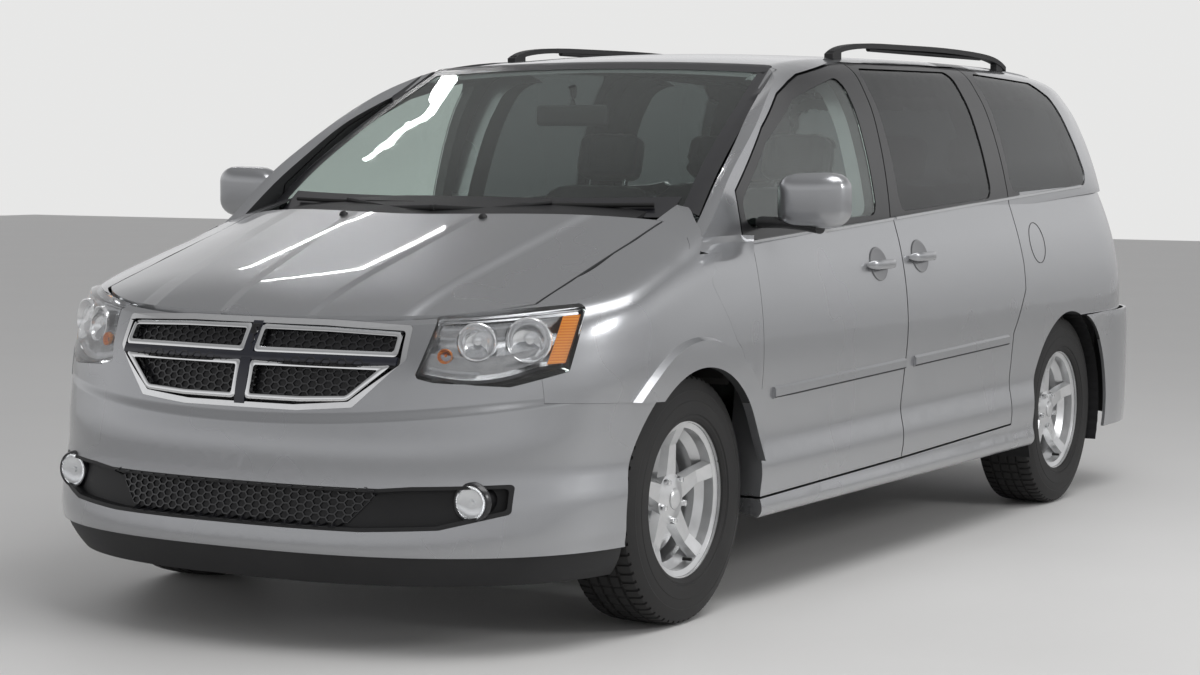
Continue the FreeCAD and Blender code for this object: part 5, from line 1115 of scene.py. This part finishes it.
# Seats: foam cushions in woven cloth with raised side bolsters and sewn channels, on black plinths that
# are bolted to the floor. Each headrest stands on two steel posts. Two seats in front, two in the second
# row, a bench of three behind.
cloth = Finish("dark_seat_cloth", Sheen_Weight=0.4, Sheen_Roughness=0.5)
weave_settings = {"Vector": cloth.place(), "Scale": 260.0}
weave_wave = cloth.node("ShaderNodeTexWave", {"wave_type": "BANDS"}, weave_settings)
cloth.vary("Base Color", cloth.mix(cloth.noise(380, 3), (0.018, 0.018, 0.020), (0.055, 0.055, 0.058)))
cloth.vary("Roughness", 0.8 + weave_wave * 0.12)
cloth.relief(weave_wave + cloth.noise(500, 2), 0.4, 0.0008)
seat_lean = math.radians(-16)
seat_floor, seat_depth, seat_rise, back_depth, back_rise = 0.3125, 0.50, 0.36, 0.13, 0.60
seat_gap, rest_gap, rest_set_back, post_spread = 0.004, 0.03, 0.065, 0.070
rest_half = (0.083, 0.126, 0.050)
pad_cuts, channel_reach, channel_width, side_channel_width = 17, 0.56, 0.04, 0.035


def pad_form(centre, half, upright_pad, crown, bolster, channels):
    """A crowned cushion whose sides pull in between its corners, with sewn channels in its face."""
    mesh = bmesh.new()
    bmesh.ops.create_cube(mesh, size=2)
    bmesh.ops.subdivide_edges(mesh, edges=mesh.edges[:], cuts=pad_cuts, use_grid_fill=True)
    for vert in mesh.verts:
        long_way, wide, face = vert.co
        norm = (abs(long_way) ** 5 + abs(wide) ** 5 + abs(face) ** 5) ** 0.2
        long_way, wide, face = long_way / norm, wide / norm, face / norm
        puff = crown * (1 - long_way ** 2) * (1 - wide ** 2)
        pull = 1 - 0.035 * (1 - long_way ** 2)
        raised = face
        if face > 0.5:
            raised += puff + bolster * max(0, abs(wide) - 0.52) ** 1.2
            raised -= 0.10 * math.exp(-((abs(wide) - channel_reach) / side_channel_width) ** 2)
            for channel in channels if abs(wide) < channel_reach else ():
                raised -= 0.09 * math.exp(-((long_way - channel) / channel_width) ** 2)
        place = Vector((long_way * half[0], wide * pull * half[1], raised * half[2]))
        if upright_pad:
            place = Vector((place.z, place.y, place.x))
        vert.co = centre + place
    return mesh


def lean_back(mesh, pivot):
    """Tips a back or headrest about the seat's hinge."""
    bmesh.ops.rotate(mesh, cent=pivot, matrix=Matrix.Rotation(seat_lean, 3, "Y"), verts=mesh.verts)
    return mesh


def upholstered(name, mesh, node):
    """A padded piece in cloth, in place of the plain seats of a node."""
    piece = show(name, mesh, cloth, "body", 80)
    smoother = piece.modifiers.new("smooth", "SUBSURF")
    smoother.levels = smoother.render_levels = 1
    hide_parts(node)


front_row, second_row, third_row = 0.3225, -0.5395, -1.3705
single_side, single_width, bench_third = 0.380, 0.51, 0.3885
seats = (
    ("driver", "front_seats", front_row, single_side, single_width),
    ("passenger", "front_seats", front_row, -single_side, single_width),
    ("second_left", "rear_seats", second_row, single_side, single_width),
    ("second_right", "rear_seats", second_row, -single_side, single_width),
    ("third_left", "rear_seats", third_row, bench_third, bench_third),
    ("third_middle", "rear_seats", third_row, 0, bench_third),
    ("third_right", "rear_seats", third_row, -bench_third, bench_third),
)
for name, node, x, y, width in seats:
    pivot = Vector((x - seat_depth / 2, y, seat_floor + seat_rise * 0.6))
    half_width = width / 2 - seat_gap
    cushion_at = Vector((x + seat_gap, y, seat_floor + seat_rise * 0.765))
    cushion_half = (seat_depth / 2 - 0.006, half_width, seat_rise * 0.205)
    upholstered("cushion_" + name, pad_form(cushion_at, cushion_half, False, 0.18, 0.5, (-0.1, 0.45)), node)
    back_at = Vector((pivot.x - back_depth * 0.36, y, seat_floor + seat_rise * 0.8 + back_rise / 2))
    back_half = (back_rise / 2 + seat_rise * 0.19, half_width, back_depth * 0.56)
    back = pad_form(back_at, back_half, True, 0.12, 0.5, (-0.35, 0.30))
    upholstered("back_" + name, lean_back(back, pivot), node)
    rest_foot = Vector((pivot.x - rest_set_back, y, seat_floor + seat_rise + back_rise + rest_gap))
    rest_at = rest_foot + Vector((0, 0, rest_half[0] + 0.001))
    rest = pad_form(rest_at, rest_half, True, 0.15, 0.0, ())
    upholstered("headrest_" + name, lean_back(rest, pivot), node)
    posts = bmesh.new()
    for step in (-post_spread, post_spread):
        foot = Matrix.Translation(rest_foot + Vector((0, step, 0)))
        bmesh.ops.create_cone(
            posts, cap_ends=True, segments=12, radius1=0.006, radius2=0.006, depth=0.11, matrix=foot,
        )
    show("headrest_posts_" + name, lean_back(posts, pivot), chrome, "body")
    plinth = eased_block((seat_depth * 0.70, width * 0.66, seat_rise * 0.55), 0.015, 3)
    bmesh.ops.translate(plinth, vec=(x, y, seat_floor + seat_rise * 0.275), verts=plinth.verts)
    show("seat_plinth_" + name, plinth, plastic, "body")


# Tail lamps: red moulded lenses set in the rear corners. Two round bulges stand out of each, over the
# bulbs behind it, and are moulded in one piece with it.
red_lens = Finish("red_lamp_lens", Coat_Weight=1.0, Coat_Roughness=0.02, Specular_IOR_Level=0.6)
red_lens.clouded(red_lens.ribs(60), (0.30, 0.004, 0.006), (0.46, 0.012, 0.014), 0.12, 0.1)
dress(red_lens, "tail_lamps")
tail_skin = skin_of("tail_lamps")
bulge_side = 0.760
bulge_profile = ((-0.004, 0.049), (0.003, 0.0485), (0.009, 0.040), (0.0125, 0.022), (0.0135, 0))


def tail_bulge(height):
    """A round bulge at one height, standing square to the lens."""
    place, facing = tail_skin.ray_cast(Vector((-3.2, bulge_side, height)), Vector((1, 0, 0)))[:2]
    return lambda: turned(bulge_profile, place, facing, 40)


mirrored_pair("tail_upper_bulge", tail_bulge(1.070), red_lens)
mirrored_pair("tail_lower_bulge", tail_bulge(0.945), red_lens)


# Rear end: a blank plate in its recess under a painted grip, the wiper, and the stop lamp over the glass
# are screwed to the liftgate and rise with it. A ribbed rubber pad lies on top of the bumper.
gate_skin = skin_of("liftgate", "liftgate_glass")


def gate_face(y, z):
    """How far back the liftgate's outer face stands."""
    return struck(gate_skin, (-3.2, y, z), (1, 0, 0), (-2.40, y, z)).x


def facing_rear(corners, rows, columns, proud, depth, crown=0.0):
    """A plate on the gate's outer face; proud is how far it stands off the skin."""
    return patch(corners, rows, columns, -proud, -depth, gate_face, -crown)


plate_white = Finish("blank_plate_enamel", Specular_IOR_Level=0.5)
plate_white.clouded(plate_white.noise(30, 2), (0.62, 0.62, 0.60), (0.70, 0.70, 0.68), 0.35, 0.1)
plate = trapezoid(0.155, 0.155, 0.890, 1.040)
surround = trapezoid(0.250, 0.230, 0.868, 1.062)
grip = trapezoid(0.270, 0.262, 1.068, 1.100)
stop_lamp = trapezoid(0.160, 0.160, 1.565, 1.588)
show("plate_recess", facing_rear(surround, 12, 6, 0.001, 0.002), plastic, "liftgate")
show("blank_plate", facing_rear(plate, 8, 4, 0.004, 0.002), plate_white, "liftgate")
show("gate_grip", facing_rear(grip, 16, 6, 0.003, 0.003, 0.012), silver, "liftgate", 50)
show("high_stop_lamp", facing_rear(stop_lamp, 10, 4, 0.002, 0.003, 0.003), red_lens, "liftgate")
step_skin = skin_of("rear_bumper")
pad_half, pad_width, pad_setback, rib_height = 0.56, 0.036, 0.008, 0.0015


def step_pad():
    """The ribbed rubber pad on the bumper's top, for feet and luggage."""
    def place(u, v):
        y = pad_half * (2 * u - 1)
        back = struck(step_skin, (-3.2, y, 0.700), (1, 0, 0), (-2.57, y, 0.7)).x
        rib = rib_height * math.cos(v * 8 * math.tau)
        x = back + pad_setback + pad_width * v
        top = struck(step_skin, (x, y, 0.86), (0, 0, -1), (x, y, 0.726)).z
        return Vector((x, y, max(top, 0.70) + 0.003 + rib))

    return thick(lattice(40, 32, place), 0.002)


show("bumper_step_pad", step_pad(), black_rubber, "body")
boss_height, blade_height, blade_proud = 1.215, 1.245, 0.014
wiper_pivot = Vector((gate_face(0, boss_height) - 0.012, 0, boss_height))
blade_stations = (-0.02, -0.10, -0.20, -0.30, -0.38)
carrier = [Vector((gate_face(y, blade_height) - blade_proud, y, blade_height)) for y in blade_stations]
blade = [place + Vector((0.006, 0, 0)) for place in carrier]
show("rear_wiper_arm", rod([wiper_pivot] + carrier[1:4], 0.011, 0.006), plastic, "liftgate", 60)
show("rear_wiper_blade", rod(blade, 0.006, 0.005), black_rubber, "liftgate", 60)
wiper_boss = ((-0.012, 0.022), (0.004, 0.021), (0.010, 0.016), (0.012, 0))
show("rear_wiper_boss", turned(wiper_boss, wiper_pivot, (-1, 0, 0), 32), plastic, "liftgate")


# Rear wheelhouse liners: ribbed black plastic shells over the rear tyres, clipped inside the arches' edges
# to keep the road's water and stones off the sheet metal.
liner_radius, liner_inner, liner_width, liner_ripple = 0.396, 0.735, 0.215, 0.0015
liner_from, liner_sweep, liner_ribs = -22, 224, 40
rear_tyre_low, rear_tyre_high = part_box("tyre_rear_left")
rear_axle_at = (rear_tyre_low + rear_tyre_high) / 2


def rear_liner():
    """The left shell: a rippled sheet bent round the axle's line."""
    def place(u, v):
        turn = math.radians(liner_from + liner_sweep * u)
        reach = liner_radius + liner_ripple * math.cos(u * liner_ribs * math.tau)
        step = Vector((-math.cos(turn) * reach, 0, math.sin(turn) * reach))
        return Vector((rear_axle_at.x, liner_inner + liner_width * v, rear_axle_at.z)) + step

    return thick(lattice(160, 6, place), 0.0025)


mirrored_pair("rear_wheelhouse_liner", rear_liner, plastic, angle=60)


# Roof crossbars: two black coated aluminium bars, stowed along the insides of the roof rails and clamped
# to them at their ends.
rail_skin = skin_of("roof_rails")
rail_side, bar_side, bar_drop, bar_radius = 0.652, 0.6300, 0.014, 0.0085
bar_front, bar_length = -0.28, 1.05


def crossbar():
    """The left bar, which follows the rail a little below its top."""
    path = []
    for step in range(9):
        x = bar_front - bar_length * step / 8
        top = struck(rail_skin, (x, rail_side, 2.1), (0, 0, -1), (x, rail_side, 1.735))
        path.append(Vector((x, bar_side, top.z - bar_drop)))
    return rod(path, bar_radius, bar_radius, 14)


mirrored_pair("roof_crossbar", crossbar, plastic, angle=60)


# Cabin: the dark glass screen and the dials' cover on the dashboard's face, and four round air vents
# moulded in grained plastic. All are clipped into the dashboard.
dash_skin = skin_of("dashboard")


def dash_face(y, z):
    """How far back the dashboard's face to the cabin stands."""
    return struck(dash_skin, (0.2, y, z), (1, 0, 0), (0.90, y, z)).x


def on_dash(corners, proud, crown=0.0):
    """A plate on the dashboard's face to the cabin."""
    return patch(corners, 10, 6, -proud, -0.004, dash_face, -crown)


screen_glass = Finish("dark_screen_glass", Coat_Weight=1.0, Coat_Roughness=0.02)
screen_glass.clouded(screen_glass.noise(8, 2), (0.006, 0.008, 0.012), (0.014, 0.017, 0.022), 0.08, 0.04)
screen_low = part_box("dashboard")[1].z - 0.150
screen = trapezoid(0.10, 0.10, screen_low, screen_low + 0.105)
dials = [(y + 0.38, z) for y, z in trapezoid(0.13, 0.11, screen_low, screen_low + 0.100)]
show("dash_screen", on_dash(screen, 0.002), screen_glass, "body")
show("dash_dials", on_dash(dials, 0.002, 0.004), screen_glass, "body")
vent_height = screen_low + 0.05
vent_profile = (
    (-0.002, 0.040), (0.006, 0.040), (0.008, 0.037), (0.004, 0.034), (0.001, 0.030), (0.001, 0.006),
    (0.004, 0),
)
for number, y in enumerate((-0.60, -0.17, 0.17, 0.60)):
    vent_at = Vector((dash_face(y, vent_height), y, vent_height))
    show("dash_vent_%d" % number, turned(vent_profile, vent_at, (-1, 0, 0.2), 36), plastic, "body")


# Studio: a pale matt floor and a pale surround. One large soft light hangs overhead and one at the left,
# with two thin tubes high at the right rear.
stage_finish = Finish("pale_floor")
stage_finish.clouded(stage_finish.noise(0.8, 4), (0.70, 0.695, 0.685), (0.77, 0.765, 0.755), 0.45, 0.2)
floor_mesh = bmesh.new()
bmesh.ops.create_grid(floor_mesh, x_segments=8, y_segments=8, size=30)
floor_data = bpy.data.meshes.new("floor")
floor_mesh.to_mesh(floor_data)
floor_mesh.free()
floor_data.materials.append(stage_finish.material)
floor = bpy.data.objects.new("floor", floor_data)
bpy.context.scene.collection.objects.link(floor)

world = bpy.data.worlds.new("studio")
bpy.context.scene.world = world
world.use_nodes = True
world_tree = world.node_tree
background = world_tree.nodes["Background"]
coordinates = world_tree.nodes.new("ShaderNodeTexCoord")
split = world_tree.nodes.new("ShaderNodeSeparateXYZ")
ramp = world_tree.nodes.new("ShaderNodeValToRGB")
sky_stops = ((0.0, 0.46), (0.16, 0.78), (0.34, 0.62), (0.55, 0.26), (1.0, 0.42))
for element, (height, grey) in zip(ramp.color_ramp.elements, (sky_stops[0], sky_stops[-1])):
    element.position, element.color = height, (grey, grey, grey * 1.01, 1)
for height, grey in sky_stops[1:-1]:
    ramp.color_ramp.elements.new(height).color = (grey, grey, grey * 1.01, 1)
world_tree.links.new(coordinates.outputs["Generated"], split.inputs[0])
world_tree.links.new(split.outputs[2], ramp.inputs[0])
world_tree.links.new(ramp.outputs[0], background.inputs["Color"])
background.inputs["Strength"].default_value = 1.05
pale = world_tree.nodes.new("ShaderNodeBackground")
pale.inputs["Color"].default_value = (0.80, 0.80, 0.795, 1)
light_path = world_tree.nodes.new("ShaderNodeLightPath")
choice = world_tree.nodes.new("ShaderNodeMixShader")
world_tree.links.new(light_path.outputs["Is Camera Ray"], choice.inputs[0])
world_tree.links.new(background.outputs[0], choice.inputs[1])
world_tree.links.new(pale.outputs[0], choice.inputs[2])
world_tree.links.new(choice.outputs[0], world_tree.nodes["World Output"].inputs["Surface"])


def area_light(name, size, place, target, power):
    """A soft rectangular lamp that faces a target."""
    light = bpy.data.lights.new(name, "AREA")
    light.shape = "RECTANGLE"
    light.size, light.size_y = size
    light.energy = power
    lamp = bpy.data.objects.new(name, light)
    lamp.location = place
    lamp.rotation_euler = (Vector(target) - Vector(place)).to_track_quat("-Z", "Y").to_euler()
    bpy.context.scene.collection.objects.link(lamp)


area_light("overhead", (6, 2.4), (1.5, 2.6, 5.2), (1.0, 0.4, 0), 150)
area_light("left_side", (3, 2), (0.2, 9.2, 4.6), (0.4, 0, 0.8), 170)
for tube, (x, y) in enumerate(((-2.6, -4.3), (-4.1, -5.6))):
    area_light("tube_%d" % tube, (1.5, 0.06), (x, y, 5.2), (2.0, 0, 1.0), 5)


# Camera: stands at the photograph's place and height, with its direction and field of view.
sensor_width = 36
camera_data = bpy.data.cameras.new("camera")
camera_data.sensor_width = sensor_width
camera_data.lens = sensor_width * focal_pixels / photo_width
camera = bpy.data.objects.new("camera", camera_data)
facing = Matrix((right_rolled, above_rolled, -ahead)).transposed()
camera.matrix_world = Matrix.Translation(eye) @ facing.to_4x4()
bpy.context.scene.collection.objects.link(camera)
bpy.context.scene.camera = camera

scene = bpy.context.scene
scene.view_settings.view_transform = "Standard"
bpy.context.view_layer.update()
